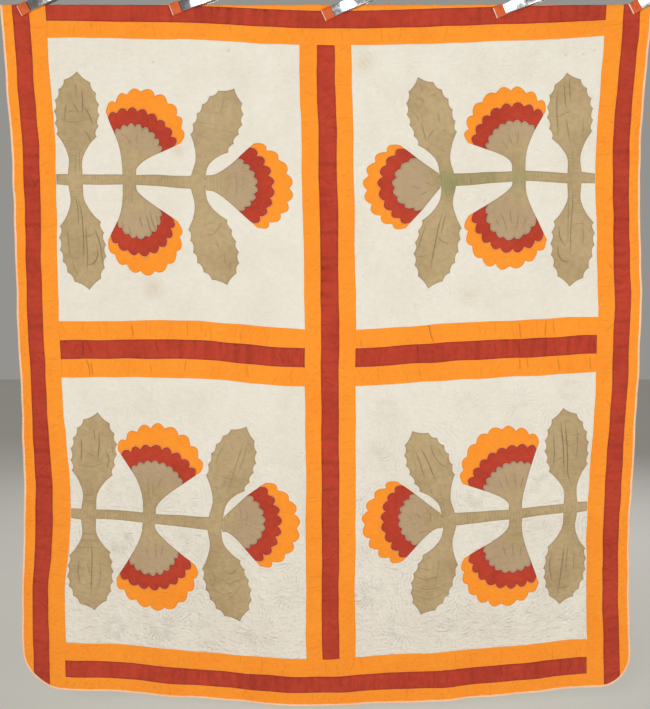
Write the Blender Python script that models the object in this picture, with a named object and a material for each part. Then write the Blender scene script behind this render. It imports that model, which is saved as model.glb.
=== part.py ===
"""Applique quilt hung from five spring clamps. Metres, +Z up, the front faces -Y.

The origin is the middle of the quilt's top edge, on the crest of the fold that the clamps grip.
A place on the flat quilt is (across, down): across from the middle of the centre sashing, and
down from the seam between the top orange and red strips, which lies on the fold at both sides.
Hanging.hang() carries such a place to where it hangs, and every cloth piece goes through it.
"""

import math
from bisect import bisect_right

import bmesh
import bpy
from mathutils import Matrix, Vector

# The quilt's cloth, laid flat
CLOTH_THICKNESS = 0.004
BODY_HALF_WIDTH = 0.9585
BODY_TOP = -0.037
BODY_BOTTOM = 2.152
BORDER_SEAMS = (0.830, 0.880, 0.929)
SASH_SEAMS = (0.028, 0.080)
TOP_RED_MIDDLE = 0.028
TOP_SEAMS = (0.054, 0.106)
MIDDLE_SEAMS = (0.963, 1.022, 1.081, 1.139)
BOTTOM_SEAMS = (2.001, 2.059, 2.113)
CORNER_RADIUS = {"left": 0.110, "right": 0.095}
CORNER_CHORDS = 5
SEAM_DEPTH = 0.0006
STRIP_CROWN = 0.0010
FIELD_COLUMNS = 6
FIELD_ROWS = 7

# The fold over the top edge
LAYER_GAP = 0.0036
FOLD_RADIUS = (LAYER_GAP + CLOTH_THICKNESS) / 2
FOLD_STEPS = 4

# The binding round the edge, and the clearance between touching pieces
TOUCH = 0.0003
BINDING_WIDTH = 0.0050
BINDING_THICKNESS = 0.0052

# How far each column of the hung quilt lies from the origin, by how far down it is
SWAY_COLUMNS = ("drop", "left_edge", "left_block", "centre", "right_block", "right_edge")
SWAY = (
    (0.00, -0.9745, -0.843, 0.000, 0.848, 0.9825),
    (0.10, -0.9695, -0.839, 0.000, 0.843, 0.9760),
    (0.45, -0.9500, -0.823, 0.008, 0.826, 0.9570),
    (0.90, -0.9460, -0.821, 0.016, 0.843, 0.9720),
    (1.20, -0.9400, -0.812, 0.017, 0.840, 0.9670),
    (1.55, -0.9390, -0.793, 0.019, 0.824, 0.9550),
    (1.80, -0.9530, -0.816, 0.018, 0.825, 0.9560),
    (2.20, -0.9550, -0.822, 0.021, 0.838, 0.9760),
)
HUNG_SASH_HALF = 0.079

# How far below its flat place the cloth sags, at seven places across
SAG_ACROSS = (-0.96, -0.82, -0.40, 0.00, 0.40, 0.82, 0.96)
SAG = (
    (0.00, -0.005, -0.004, 0.004, 0.019, 0.010, -0.001, -0.006),
    (0.11, -0.009, -0.006, 0.000, 0.016, 0.009, -0.012, -0.018),
    (1.05, -0.008, -0.006, -0.004, 0.023, -0.001, -0.021, -0.028),
    (2.00, -0.040, -0.024, 0.009, 0.031, 0.004, -0.031, -0.046),
    (2.16, -0.040, -0.024, 0.005, 0.030, 0.007, -0.026, -0.040),
)

# Soft folds that run down the quilt: forward is towards the viewer
FOLD_COLUMNS = ("across", "lean", "width", "forward", "starts", "full")
FOLDS = (
    (-0.86, 0.03, 0.34, 0.010, 0.25, 1.30),
    (-0.60, -0.04, 0.40, -0.013, 0.10, 0.90),
    (-0.26, 0.05, 0.42, 0.012, 0.15, 1.20),
    (0.10, 0.03, 0.46, -0.010, 0.20, 1.00),
    (0.42, -0.05, 0.40, 0.013, 0.12, 1.10),
    (0.72, 0.04, 0.36, -0.012, 0.15, 0.90),
    (0.93, -0.02, 0.30, 0.009, 0.30, 1.50),
)

# The applique, in a block's own frame: across from the block's outer side, down from its top
APPLIQUE_THICKNESS = 0.0010
APPLIQUE_LIFT = 0.0004
SEAM_CLEARANCE = 0.0015
BLOCKS = {
    "top_left": {"side": -1, "top": TOP_SEAMS[-1], "starts": 0.420, "ends": 0.430, "bow": 0.0},
    "top_right": {"side": 1, "top": TOP_SEAMS[-1], "starts": 0.430, "ends": 0.414, "bow": -0.009},
    "bottom_left": {"side": -1, "top": MIDDLE_SEAMS[-1], "starts": 0.436, "ends": 0.450, "bow": 0.003},
    "bottom_right": {"side": 1, "top": MIDDLE_SEAMS[-1], "starts": 0.428, "ends": 0.440, "bow": 0.004},
}
STEM_WIDTH = 0.031
STEM_REACH = 0.470
LEAF_COLUMNS = ("block", "place", "base", "tip_across", "tip_down")
LEAVES = (
    ("top_left", "outer_up", 0.060, 0.083, 0.098),
    ("top_left", "outer_down", 0.060, 0.093, 0.757),
    ("top_left", "inner_up", 0.430, 0.552, 0.139),
    ("top_left", "inner_down", 0.431, 0.517, 0.739),
    ("top_right", "outer_up", 0.064, 0.103, 0.106),
    ("top_right", "outer_down", 0.064, 0.087, 0.761),
    ("top_right", "inner_up", 0.460, 0.551, 0.098),
    ("top_right", "inner_down", 0.456, 0.529, 0.742),
    ("bottom_left", "outer_up", 0.054, 0.101, 0.109),
    ("bottom_left", "outer_down", 0.054, 0.089, 0.751),
    ("bottom_left", "inner_up", 0.460, 0.565, 0.138),
    ("bottom_left", "inner_down", 0.456, 0.543, 0.755),
    ("bottom_right", "outer_up", 0.056, 0.099, 0.108),
    ("bottom_right", "outer_down", 0.056, 0.085, 0.743),
    ("bottom_right", "inner_up", 0.450, 0.573, 0.148),
    ("bottom_right", "inner_down", 0.446, 0.541, 0.736),
)
LEAF_BEND = 0.15
LEAF_NECK = ((0.05, 0.022), (0.20, 0.021), (0.33, 0.041))
LEAF_TEETH = ((0.41, 0.063), (0.51, 0.068), (0.62, 0.070), (0.72, 0.067), (0.82, 0.057), (0.91, 0.040))
TOOTH_DEPTH = 0.004
FLOWER_COLUMNS = (
    "block", "place", "neck", "across", "down", "heading", "opening", "size", "calyx", "red", "orange",
)
FLOWERS = (
    ("top_left", "up", 0.222, 0.220, 0.386, 23, 42, 0.94, 0.139, 0.188, 0.252),
    ("top_left", "down", 0.222, 0.230, 0.459, 165, 42, 0.87, 0.147, 0.201, 0.261),
    ("top_left", "end", 0.470, 0.467, 0.432, 89, 42, 0.99, 0.147, 0.198, 0.257),
    ("top_right", "up", 0.240, 0.240, 0.363, 20, 49, 0.88, 0.125, 0.181, 0.233),
    ("top_right", "down", 0.238, 0.232, 0.435, 161, 42, 1.00, 0.178, 0.218, 0.272),
    ("top_right", "end", 0.470, 0.458, 0.416, 94, 42, 1.00, 0.175, 0.220, 0.265),
    ("bottom_left", "up", 0.245, 0.254, 0.400, 13, 44, 1.03, 0.141, 0.193, 0.262),
    ("bottom_left", "down", 0.245, 0.244, 0.474, 166, 42, 1.01, 0.154, 0.204, 0.272),
    ("bottom_left", "end", 0.470, 0.468, 0.431, 93, 42, 1.02, 0.151, 0.204, 0.265),
    ("bottom_right", "up", 0.235, 0.223, 0.402, 26, 42, 1.02, 0.137, 0.190, 0.262),
    ("bottom_right", "down", 0.232, 0.220, 0.480, 157, 42, 1.01, 0.150, 0.202, 0.263),
    ("bottom_right", "end", 0.470, 0.469, 0.424, 94, 42, 1.00, 0.146, 0.202, 0.262),
)
FLOWER_NECK = 0.021
THROAT_START = 0.004
THROAT_FLARE = 1.5
CALYX_SIDE = (0.0, 0.3, 0.55, 0.8)
STRAIGHT_PULL = 0.3
LAYER_COLUMNS = ("shoulder", "scallops", "depth")
LAYERS = {
    "calyx": (0.124, 6, 0.006),
    "red": (0.180, 8, 0.007),
    "orange": (0.202, 8, 0.009),
}
BAND_GAP = 0.0006

# The spring clamps: where the middle of the tip's end lies, and how steeply the clamp rises
CLAMP_COLUMNS = ("name", "across", "height", "rise")
CLAMPS = (
    ("clamp_1", -0.920, -0.021, 27),
    ("clamp_2", -0.464, -0.018, 21),
    ("clamp_3", -0.005, -0.035, 25),
    ("clamp_4", 0.511, -0.027, 23),
    ("clamp_5", 0.920, -0.015, 27),
)
TIP_COLUMNS = ("along", "half_width", "depth")
TIP = ((0.0, 0.0170, 0.0060), (0.004, 0.0180, 0.0080), (0.030, 0.0180, 0.0085))
JAW_FACE = {
    "front": FOLD_RADIUS + CLOTH_THICKNESS / 2 + STRIP_CROWN + TOUCH,
    "back": FOLD_RADIUS + BINDING_THICKNESS / 2 + TOUCH,
}
STEEL_THICKNESS = 0.0018
ARM_COLUMNS = ("along", "inside", "half_width", "flange")
ARM = (
    (0.0303, 0.0085, 0.0160, 0.0006),
    (0.060, 0.0170, 0.0180, 0.0050),
    (0.100, 0.0215, 0.0205, 0.0125),
    (0.139, 0.0195, 0.0215, 0.0110),
    (0.144, 0.0193, 0.0215, 0.0255),
    (0.160, 0.0193, 0.0215, 0.0255),
    (0.176, 0.0225, 0.0190, 0.0080),
    (0.240, 0.0420, 0.0130, 0.0060),
)
NESTING = {"front": 0.0, "back": 0.0025}
PIVOT_ALONG = 0.152
PIVOT_SIDES = 8
PIN_RADIUS = 0.0026
PIN_HOLE_RADIUS = 0.0031
DRILL_LENGTH = 0.1
PIN_HEAD_RADIUS = 0.0055
PIN_HEAD_LENGTH = 0.0024
SPRING_RADIUS = 0.0090
SPRING_HALF_LENGTH = 0.0155

SHARPEST_SMOOTH = math.radians(50)
COLOURS = {
    "quilt": (0.76, 0.72, 0.59, 1.0),
    "orange": (0.93, 0.30, 0.03, 1.0),
    "red": (0.46, 0.05, 0.03, 1.0),
    "tan": (0.48, 0.37, 0.22, 1.0),
    "binding": (0.88, 0.56, 0.42, 1.0),
    "steel": (0.55, 0.56, 0.57, 1.0),
    "vinyl": (0.80, 0.20, 0.05, 1.0),
}


def rows_as_dicts(columns, rows):
    """The rows of a table, each by its columns' names."""
    return [dict(zip(columns, row)) for row in rows]


def smooth_row(rows, at):
    """A row between the rows of a table whose first column is where each row lies, on a smooth curve."""
    places = [row[0] for row in rows]
    at = min(max(at, places[0]), places[-1])
    low = min(bisect_right(places, at) - 1, len(rows) - 2)
    span = places[low + 1] - places[low]
    t = (at - places[low]) / span

    def slope(index, column):
        before, after = max(index - 1, 0), min(index + 1, len(rows) - 1)
        return (rows[after][column] - rows[before][column]) / (places[after] - places[before])

    values = []
    for column in range(1, len(rows[0])):
        start, end = rows[low][column], rows[low + 1][column]
        leave, arrive = slope(low, column) * span, slope(low + 1, column) * span
        values.append(
            (2 * t**3 - 3 * t**2 + 1) * start
            + (t**3 - 2 * t**2 + t) * leave
            + (3 * t**2 - 2 * t**3) * end
            + (t**3 - t**2) * arrive
        )
    return values


def ease(t):
    """0 to 1 with no corner at either end."""
    t = min(max(t, 0.0), 1.0)
    return t * t * (3 - 2 * t)


class Hanging:
    """Where a place on the flat quilt hangs."""

    def __init__(self):
        self.folds = rows_as_dicts(FOLD_COLUMNS, FOLDS)
        self.flat_columns = (
            -BODY_HALF_WIDTH, -BORDER_SEAMS[0], -SASH_SEAMS[-1],
            SASH_SEAMS[-1], BORDER_SEAMS[0], BODY_HALF_WIDTH,
        )

    def sag(self, across, down):
        """How far below its flat place the cloth hangs."""
        depths = smooth_row(SAG, max(down, 0.0))
        return smooth_row(list(zip(SAG_ACROSS, depths)), across)[0]

    def sideways(self, across, drop):
        """The hung X of a place, from the seams that lie either side of it."""
        row = dict(zip(SWAY_COLUMNS[1:], smooth_row(SWAY, drop)))
        hung = (
            row["left_edge"], row["left_block"], row["centre"] - HUNG_SASH_HALF,
            row["centre"] + HUNG_SASH_HALF, row["right_block"], row["right_edge"],
        )
        low = min(max(bisect_right(self.flat_columns, across) - 1, 0), len(hung) - 2)
        start, end = self.flat_columns[low], self.flat_columns[low + 1]
        return hung[low] + (hung[low + 1] - hung[low]) * (across - start) / (end - start)

    def forward(self, across, drop):
        """How far the soft folds bring the cloth towards the viewer."""
        total = 0.0
        for fold in self.folds:
            middle = fold["across"] + fold["lean"] * drop
            reach = abs(across - middle) / (fold["width"] / 2)
            if reach < 1:
                grown = ease((drop - fold["starts"]) / (fold["full"] - fold["starts"]))
                total += fold["forward"] * grown * (1 + math.cos(math.pi * reach)) / 2
        return total

    def hang(self, across, down, lift):
        """The hung place of a flat one, lift in front of the cloth's middle."""
        drop = down + self.sag(across, down)
        quarter = math.pi / 2 * FOLD_RADIUS
        along = drop + quarter - FOLD_RADIUS - CLOTH_THICKNESS / 2
        crown = FOLD_RADIUS + lift
        axis_height = -CLOTH_THICKNESS / 2 - FOLD_RADIUS
        x = self.sideways(across, max(drop, 0.0))
        if along >= quarter:
            return Vector((x, -crown - self.forward(across, drop), axis_height - along + quarter))
        if along <= -quarter:
            return Vector((x, crown, axis_height + along + quarter))
        turn = along / FOLD_RADIUS
        return Vector((x, -crown * math.sin(turn), axis_height + crown * math.cos(turn)))

    def down_at_turn(self, across, turn):
        """The flat place down whose cloth lies at this angle round the fold."""
        along = turn * FOLD_RADIUS
        drop = along - math.pi / 2 * FOLD_RADIUS + FOLD_RADIUS + CLOTH_THICKNESS / 2
        return drop - self.sag(across, 0.0)


def with_middles(seams):
    """Seams with a line halfway between each two, where a strip is fullest."""
    lines = [seams[0]]
    for start, end in zip(seams, seams[1:]):
        lines += [(start + end) / 2, end]
    return lines


def spaced(start, end, parts):
    """The lines inside a span that cut it in equal parts."""
    return [start + (end - start) * step / parts for step in range(1, parts)]


class Facets:
    """The quilt's own facets: a grid of lines across and down, each cell cut on one diagonal."""

    def __init__(self, hanging):
        self.hanging = hanging
        border = with_middles(BORDER_SEAMS + (BODY_HALF_WIDTH,))
        field = spaced(SASH_SEAMS[-1], BORDER_SEAMS[0], FIELD_COLUMNS)
        sash = with_middles(SASH_SEAMS)
        right = sash + field + border
        self.across = [-line for line in reversed(right)] + [0.0] + right
        self.down = (
            [TOP_RED_MIDDLE]
            + with_middles(TOP_SEAMS)
            + spaced(TOP_SEAMS[-1], MIDDLE_SEAMS[0], FIELD_ROWS)
            + with_middles(MIDDLE_SEAMS)
            + spaced(MIDDLE_SEAMS[-1], BOTTOM_SEAMS[0], FIELD_ROWS)
            + with_middles(BOTTOM_SEAMS + (BODY_BOTTOM,))
        )

    def relief(self, across, down):
        """How far the face stands out: low along a seam, full along the middle of a strip."""
        side = abs(across)
        if side >= BORDER_SEAMS[0]:
            place, seams = side, BORDER_SEAMS
        elif down <= TOP_SEAMS[-1]:
            place, seams = down, TOP_SEAMS
        elif down >= BOTTOM_SEAMS[0]:
            place, seams = down, BOTTOM_SEAMS
        elif side <= SASH_SEAMS[-1]:
            place, seams = side, SASH_SEAMS
        elif MIDDLE_SEAMS[0] <= down <= MIDDLE_SEAMS[-1]:
            place, seams = down, MIDDLE_SEAMS
        else:
            return 0.0
        nearest = min(abs(place - seam) for seam in seams)
        if nearest < TOUCH:
            return -SEAM_DEPTH
        on_fold = down < self.down[0] - TOUCH
        on_edge = side > BODY_HALF_WIDTH - TOUCH or down > BODY_BOTTOM - TOUCH
        return 0.0 if on_fold or on_edge else STRIP_CROWN

    def corner(self, across, down, lift):
        """A corner of the facets, lift in front of the front face."""
        stand = CLOTH_THICKNESS / 2 + self.relief(across, down) + lift
        return self.hanging.hang(across, down, stand)

    def on_facet(self, across, down, corner_at):
        """A place on the facets below the fold, between the corners that corner_at places."""
        i = min(max(bisect_right(self.across, across) - 1, 0), len(self.across) - 2)
        j = min(max(bisect_right(self.down, down) - 1, 0), len(self.down) - 2)
        left, right = self.across[i], self.across[i + 1]
        top, bottom = self.down[j], self.down[j + 1]
        s, t = (across - left) / (right - left), (down - top) / (bottom - top)
        near, far = corner_at(left, top), corner_at(right, bottom)
        if s >= t:
            side = corner_at(right, top)
            return near + (side - near) * s + (far - side) * t
        side = corner_at(left, bottom)
        return near + (side - near) * t + (far - side) * s

    def front(self, across, down, lift=0.0):
        """A place lift in front of the front face."""

        def raised(line, row):
            return self.corner(line, row, lift)

        if down < self.down[0]:
            return raised(across, down)
        return self.on_facet(across, down, raised)

    def back(self, across, down):
        """A place on the smooth back."""

        def under(line, row):
            return self.hanging.hang(line, row, -CLOTH_THICKNESS / 2)

        if down < self.down[0]:
            return under(across, down)
        return self.on_facet(across, down, under)


def finish(name, colour, roughness=0.9, metallic=0.0):
    """A piece's material."""
    material = bpy.data.materials.new(name)
    material.use_nodes = True
    shader = material.node_tree.nodes["Principled BSDF"]
    shader.inputs["Base Color"].default_value = COLOURS[colour]
    shader.inputs["Roughness"].default_value = roughness
    shader.inputs["Metallic"].default_value = metallic
    return material


def add_object(name, mesh, material):
    """A named object of a mesh, with its material."""
    piece = bpy.data.objects.new(name, mesh)
    piece.data.materials.append(material)
    bpy.context.scene.collection.objects.link(piece)
    return piece


def mesh_of(bm, name):
    """A mesh with its faces turned outwards, from a bmesh that it frees."""
    bmesh.ops.recalc_face_normals(bm, faces=bm.faces)
    mesh = bpy.data.meshes.new(name)
    bm.to_mesh(mesh)
    bm.free()
    mesh.shade_smooth()
    mesh.set_sharp_from_angle(angle=SHARPEST_SMOOTH)
    return mesh


def thickened(flat, front, back, name):
    """A closed sheet from a flat bmesh in (across, down), whose two faces two functions place.

    It also returns the flat places of the boundary, in order round the sheet.
    """
    bm = bmesh.new()
    places = [Vector(vertex.co) for vertex in flat.verts]
    fronts = [bm.verts.new(front(place.x, place.y)) for place in places]
    backs = [bm.verts.new(back(place.x, place.y)) for place in places]
    flat.verts.index_update()
    for face in flat.faces:
        corners = [vertex.index for vertex in face.verts]
        bm.faces.new([fronts[index] for index in corners])
        bm.faces.new([backs[index] for index in reversed(corners)])
    follows = {}
    for edge in flat.edges:
        if edge.is_boundary:
            loop = edge.link_loops[0]
            start, end = loop.vert.index, loop.link_loop_next.vert.index
            bm.faces.new((fronts[end], fronts[start], backs[start], backs[end]))
            follows[start] = end
    flat.free()
    first = min(follows)
    rim = [first]
    while follows[rim[-1]] != first:
        rim.append(follows[rim[-1]])
    return mesh_of(bm, name), [(places[index].x, places[index].y) for index in rim]


def round_corner(flat, side, radius):
    """Cut one bottom corner of the flat grid to a round one, chord by chord."""
    centre = Vector((side * (BODY_HALF_WIDTH - radius), BODY_BOTTOM - radius, 0))
    step = math.pi / 2 / CORNER_CHORDS
    for chord in range(CORNER_CHORDS):
        turn = step * (chord + 0.5)
        outwards = Vector((side * math.cos(turn), math.sin(turn), 0))
        bmesh.ops.bisect_plane(
            flat,
            geom=list(flat.verts) + list(flat.edges) + list(flat.faces),
            dist=TOUCH / 10,
            plane_co=centre + outwards * radius * math.cos(step / 2),
            plane_no=outwards,
            clear_outer=True,
        )


def quilt_body(facets):
    """The quilted cloth in one piece, its top turned back over the fold.

    It returns the rim: each place along its middle, with the way its face looks there.
    """
    hanging = facets.hanging
    flat = bmesh.new()
    turns = [math.pi * (step / FOLD_STEPS - 0.5) for step in range(FOLD_STEPS + 1)]
    columns = []
    for across in facets.across:
        downs = [BODY_TOP] + [hanging.down_at_turn(across, turn) for turn in turns] + facets.down
        columns.append([flat.verts.new((across, down, 0)) for down in downs])
    for left, right in zip(columns, columns[1:]):
        for row in range(len(left) - 1):
            flat.faces.new((left[row], left[row + 1], right[row + 1]))
            flat.faces.new((left[row], right[row + 1], right[row]))
    round_corner(flat, -1, CORNER_RADIUS["left"])
    round_corner(flat, 1, CORNER_RADIUS["right"])

    mesh, rim = thickened(flat, facets.front, facets.back, "quilt_body")
    add_object("quilt_body", mesh, finish("quilt", "quilt"))
    sections = []
    for place in rim:
        face, under = facets.front(*place), facets.back(*place)
        sections.append(((face + under) / 2, (face - under).normalized()))
    return sections


def binding(rim):
    """The narrow binding: a bar that follows the quilt's rim, a touch outside it."""
    outwards = []
    for (start, face), (end, _) in zip(rim, rim[1:] + rim[:1]):
        outwards.append((end - start).cross(face).normalized())
    middle = sum((place for place, _ in rim), Vector()) / len(rim)
    if (rim[0][0] - middle).dot(outwards[0]) < 0:
        outwards = [-way for way in outwards]
    bm = bmesh.new()
    rings = []
    for index, (place, face) in enumerate(rim):
        before, after = outwards[index - 1], outwards[index]
        mitre = (before + after) / (1 + before.dot(after))
        ring = []
        for out, lift in ((TOUCH, 1), (TOUCH + BINDING_WIDTH, 1), (TOUCH + BINDING_WIDTH, -1), (TOUCH, -1)):
            ring.append(bm.verts.new(place + mitre * out + face * lift * BINDING_THICKNESS / 2))
        rings.append(ring)
    for ring, following in zip(rings, rings[1:] + rings[:1]):
        for corner in range(4):
            turn = (corner + 1) % 4
            bm.faces.new((ring[corner], ring[turn], following[turn], following[corner]))
    add_object("binding", mesh_of(bm, "binding"), finish("binding", "binding"))


def heading_vector(heading):
    """The way a heading points in a block's frame, in degrees clockwise from up."""
    turn = math.radians(heading)
    return Vector((math.sin(turn), -math.cos(turn)))


def leaf_spine(base, tip, share):
    """A place on a leaf's spine, which leaves the stem squarely and bends to the tip, and its way."""
    axis = tip - base
    square = Vector((0, math.copysign(LEAF_BEND * axis.length, axis.y)))
    start, rest = 2 * LEAF_BEND, 1 - 2 * LEAF_BEND
    t = (math.sqrt(start**2 + 4 * rest * share) - start) / (2 * rest)
    way = square * (2 - 4 * t) + axis * 2 * t
    return base + square * 2 * t * (1 - t) + axis * t * t, way.normalized()


def leaf_side(base, tip, side):
    """One side of a leaf from its neck to just short of its tip, pointed teeth with hollows between."""
    stations = list(LEAF_NECK)
    for (start, width), (end, narrower) in zip(LEAF_TEETH, LEAF_TEETH[1:] + ((1.0, 0.0),)):
        stations.append((start, width))
        stations.append(((start + end) / 2, (width + narrower) / 2 - TOOTH_DEPTH / 2))
    points = []
    for share, width in stations:
        place, way = leaf_spine(base, tip, share)
        points.append(place + Vector((-way.y, way.x)) * side * width)
    return points


def leaf_outline(base, tip):
    """A leaf's whole outline, from one side of its neck round the tip to the other."""
    return leaf_side(base, tip, -1) + [tip] + leaf_side(base, tip, 1)[::-1]


def scalloped_arc(flower, layer, outset=0.0, crests=1):
    """A flower layer's scalloped edge, from one side of its opening to the other round its apex."""
    shoulder, scallops, depth = LAYERS[layer]
    shoulder *= flower["size"]
    steps = crests + 1
    points = []
    for step in range(scallops * steps + 1):
        share = 2 * step / (scallops * steps) - 1
        crown = math.cos(math.pi / 2 * share)
        radius = shoulder + (flower[layer] - shoulder) * crown + outset
        if step % steps == 0:
            radius -= depth
        heading = flower["heading"] + flower["opening"] * share
        points.append(flower["apex"] + heading_vector(heading) * radius)
    return points


def meeting(start, way, other, other_way):
    """Where two lines meet."""
    cross = way.x * other_way.y - way.y * other_way.x
    gap = other - start
    return start + way * ((gap.x * other_way.y - gap.y * other_way.x) / cross)


def calyx_outline(flower, neck, neck_way):
    """The calyx from one neck point round its scallops to the other; its sides curve in to the neck."""
    arc = scalloped_arc(flower, "calyx")
    sides = []
    for start, corner, turn in ((neck[0], arc[0], -1), (neck[1], arc[-1], 1)):
        side_way = heading_vector(flower["heading"] + turn * flower["opening"])
        pull = meeting(start, neck_way, flower["apex"], side_way)
        if (pull - start).dot(neck_way) < 0:
            pull = start + (corner - start) * STRAIGHT_PULL
        curve = []
        for t in CALYX_SIDE:
            curve.append(start * (1 - t) ** 2 + pull * 2 * t * (1 - t) + corner * t**2)
        sides.append(curve)
    return sides[0] + arc + sides[1][::-1]


def block_flowers(block):
    """The flowers of one block, each with its apex as a vector."""
    flowers = [row for row in rows_as_dicts(FLOWER_COLUMNS, FLOWERS) if row["block"] == block]
    for flower in flowers:
        flower["apex"] = Vector((flower["across"], flower["down"]))
    return {flower["place"]: flower for flower in flowers}


def vine_outline(block):
    """The tan vine of one block in one outline: stem, four leaves and three calyces."""
    stem = BLOCKS[block]

    def stem_at(across, side):
        share = across / STEM_REACH
        middle = stem["starts"] + (stem["ends"] - stem["starts"]) * share
        bowed = middle + stem["bow"] * math.sin(math.pi * share)
        return Vector((across, bowed + side * STEM_WIDTH / 2))

    leaves = {row["place"]: row for row in rows_as_dicts(LEAF_COLUMNS, LEAVES) if row["block"] == block}
    flowers = block_flowers(block)

    def leaf(place):
        row = leaves[place]
        return leaf_outline(stem_at(row["base"], 0), Vector((row["tip_across"], row["tip_down"])))

    def calyx(place, side):
        flower = flowers[place]
        ends = (flower["neck"] - FLOWER_NECK, flower["neck"] + FLOWER_NECK)
        neck = [stem_at(across, side) for across in (ends if side < 0 else ends[::-1])]
        return calyx_outline(flower, neck, Vector((0, side)))

    upper = leaf("outer_up") + calyx("up", -1) + leaf("inner_up")
    lower = leaf("inner_down") + calyx("down", 1) + leaf("outer_down")
    throat = (
        stem_at(upper[-1].x + THROAT_START, -THROAT_FLARE),
        stem_at(lower[0].x + THROAT_START, THROAT_FLARE),
    )
    end_calyx = calyx_outline(flowers["end"], throat, Vector((1, 0)))
    root = [stem_at(SEAM_CLEARANCE, 1), stem_at(SEAM_CLEARANCE, -1)]
    return root + upper + end_calyx + lower


def cut_on_facets(flat, facets, top):
    """Cut a flat piece along every line of the facets under it, diagonals too."""
    lowest = min(vertex.co.x for vertex in flat.verts)
    highest = max(vertex.co.x for vertex in flat.verts)
    field_bottom = MIDDLE_SEAMS[0] if top == TOP_SEAMS[-1] else BOTTOM_SEAMS[0]
    columns = [line for line in facets.across if SASH_SEAMS[-1] <= abs(line) <= BORDER_SEAMS[0]]
    columns = [line for line in columns if line * (lowest + highest) > 0]
    rows = [line for line in facets.down if top <= line <= field_bottom]
    cell = Vector((columns[1] - columns[0], rows[1] - rows[0], 0))
    planes = [(Vector((line, 0, 0)), Vector((1, 0, 0))) for line in columns]
    planes += [(Vector((0, line, 0)), Vector((0, 1, 0))) for line in rows]
    slant = Vector((cell.y, -cell.x, 0)).normalized()
    planes += [(Vector((line, top, 0)), slant) for line in columns]
    planes += [(Vector((columns[0], line, 0)), slant) for line in rows[1:]]
    for place, way in planes:
        bmesh.ops.bisect_plane(
            flat,
            geom=list(flat.verts) + list(flat.edges) + list(flat.faces),
            dist=TOUCH / 100,
            plane_co=place,
            plane_no=way,
        )


def applique_piece(name, facets, block, outline, material):
    """A thin cloth piece lying on the quilt's own facets, from its outline in a block's frame."""
    side, top = BLOCKS[block]["side"], BLOCKS[block]["top"]
    flat = bmesh.new()
    corners = []
    for place in outline:
        across = side * (BORDER_SEAMS[0] - place.x)
        corners.append(flat.verts.new((across, top + place.y, 0)))
    flat.faces.new(corners)
    cut_on_facets(flat, facets, top)

    def front(across, down):
        return facets.front(across, down, APPLIQUE_LIFT + APPLIQUE_THICKNESS)

    def back(across, down):
        return facets.front(across, down, APPLIQUE_LIFT)

    mesh, _ = thickened(flat, front, back, name)
    return add_object(name, mesh, material)


def applique(facets):
    """Every block's vine, and the red and orange scalloped bands of its flowers."""
    tan, red, orange = finish("tan", "tan"), finish("red", "red"), finish("orange", "orange")
    for block in BLOCKS:
        applique_piece(f"vine_{block}", facets, block, vine_outline(block), tan)
        for place, flower in block_flowers(block).items():
            calyx = scalloped_arc(flower, "calyx", BAND_GAP)
            inner = scalloped_arc(flower, "red")
            clear = scalloped_arc(flower, "red", BAND_GAP)
            outer = scalloped_arc(flower, "orange", crests=2)
            applique_piece(f"red_{block}_{place}", facets, block, calyx + inner[::-1], red)
            applique_piece(f"orange_{block}_{place}", facets, block, clear + outer[::-1], orange)


def lofted(sections, name):
    """A closed solid through sections of the same number of points."""
    bm = bmesh.new()
    rings = [[bm.verts.new(place) for place in section] for section in sections]
    for ring, following in zip(rings, rings[1:]):
        for corner in range(len(ring)):
            turn = (corner + 1) % len(ring)
            bm.faces.new((ring[corner], ring[turn], following[turn], following[corner]))
    bm.faces.new(rings[0][::-1])
    bm.faces.new(rings[-1])
    return mesh_of(bm, name)


def clamp_tip(jaw):
    """The soft tip on a jaw's end, its face flat against the cloth."""
    side = -1 if jaw == "front" else 1
    face = JAW_FACE[jaw]
    sections = []
    for along, half_width, depth in TIP:
        rim = face + depth
        corners = ((-half_width, face), (half_width, face), (half_width, rim), (-half_width, rim))
        sections.append([Vector((along, side * out, wide)) for wide, out in corners])
    return lofted(sections, f"tip_{jaw}")


def clamp_arm(jaw):
    """A jaw and its handle in one bent steel channel, with the pin's hole through its flanges."""
    side = -1 if jaw == "front" else 1
    sections = []
    for row in rows_as_dicts(ARM_COLUMNS, ARM):
        wide = row["half_width"] - NESTING[jaw]
        thin = wide - STEEL_THICKNESS
        inside = row["inside"]
        outside = inside + STEEL_THICKNESS
        rim = inside - row["flange"]
        corners = (
            (-wide, outside), (wide, outside), (wide, rim), (thin, rim),
            (thin, inside), (-thin, inside), (-thin, rim), (-wide, rim),
        )
        sections.append([Vector((row["along"], side * out, place)) for place, out in corners])
    blank = bpy.data.objects.new(f"blank_{jaw}", lofted(sections, f"arm_{jaw}"))
    bm = bmesh.new()
    bmesh.ops.create_cone(
        bm,
        cap_ends=True,
        segments=PIVOT_SIDES,
        radius1=PIN_HOLE_RADIUS,
        radius2=PIN_HOLE_RADIUS,
        depth=DRILL_LENGTH,
    )
    bmesh.ops.translate(bm, verts=bm.verts, vec=(PIVOT_ALONG, 0, 0))
    drill = bpy.data.objects.new("drill", mesh_of(bm, "drill"))
    for piece in (blank, drill):
        bpy.context.scene.collection.objects.link(piece)
    hole = blank.modifiers.new("pin hole", "BOOLEAN")
    hole.operation = "DIFFERENCE"
    hole.object = drill
    graph = bpy.context.evaluated_depsgraph_get()
    mesh = bpy.data.meshes.new_from_object(blank.evaluated_get(graph))
    for piece in (blank, drill):
        bpy.data.objects.remove(piece)
    return mesh


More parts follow.
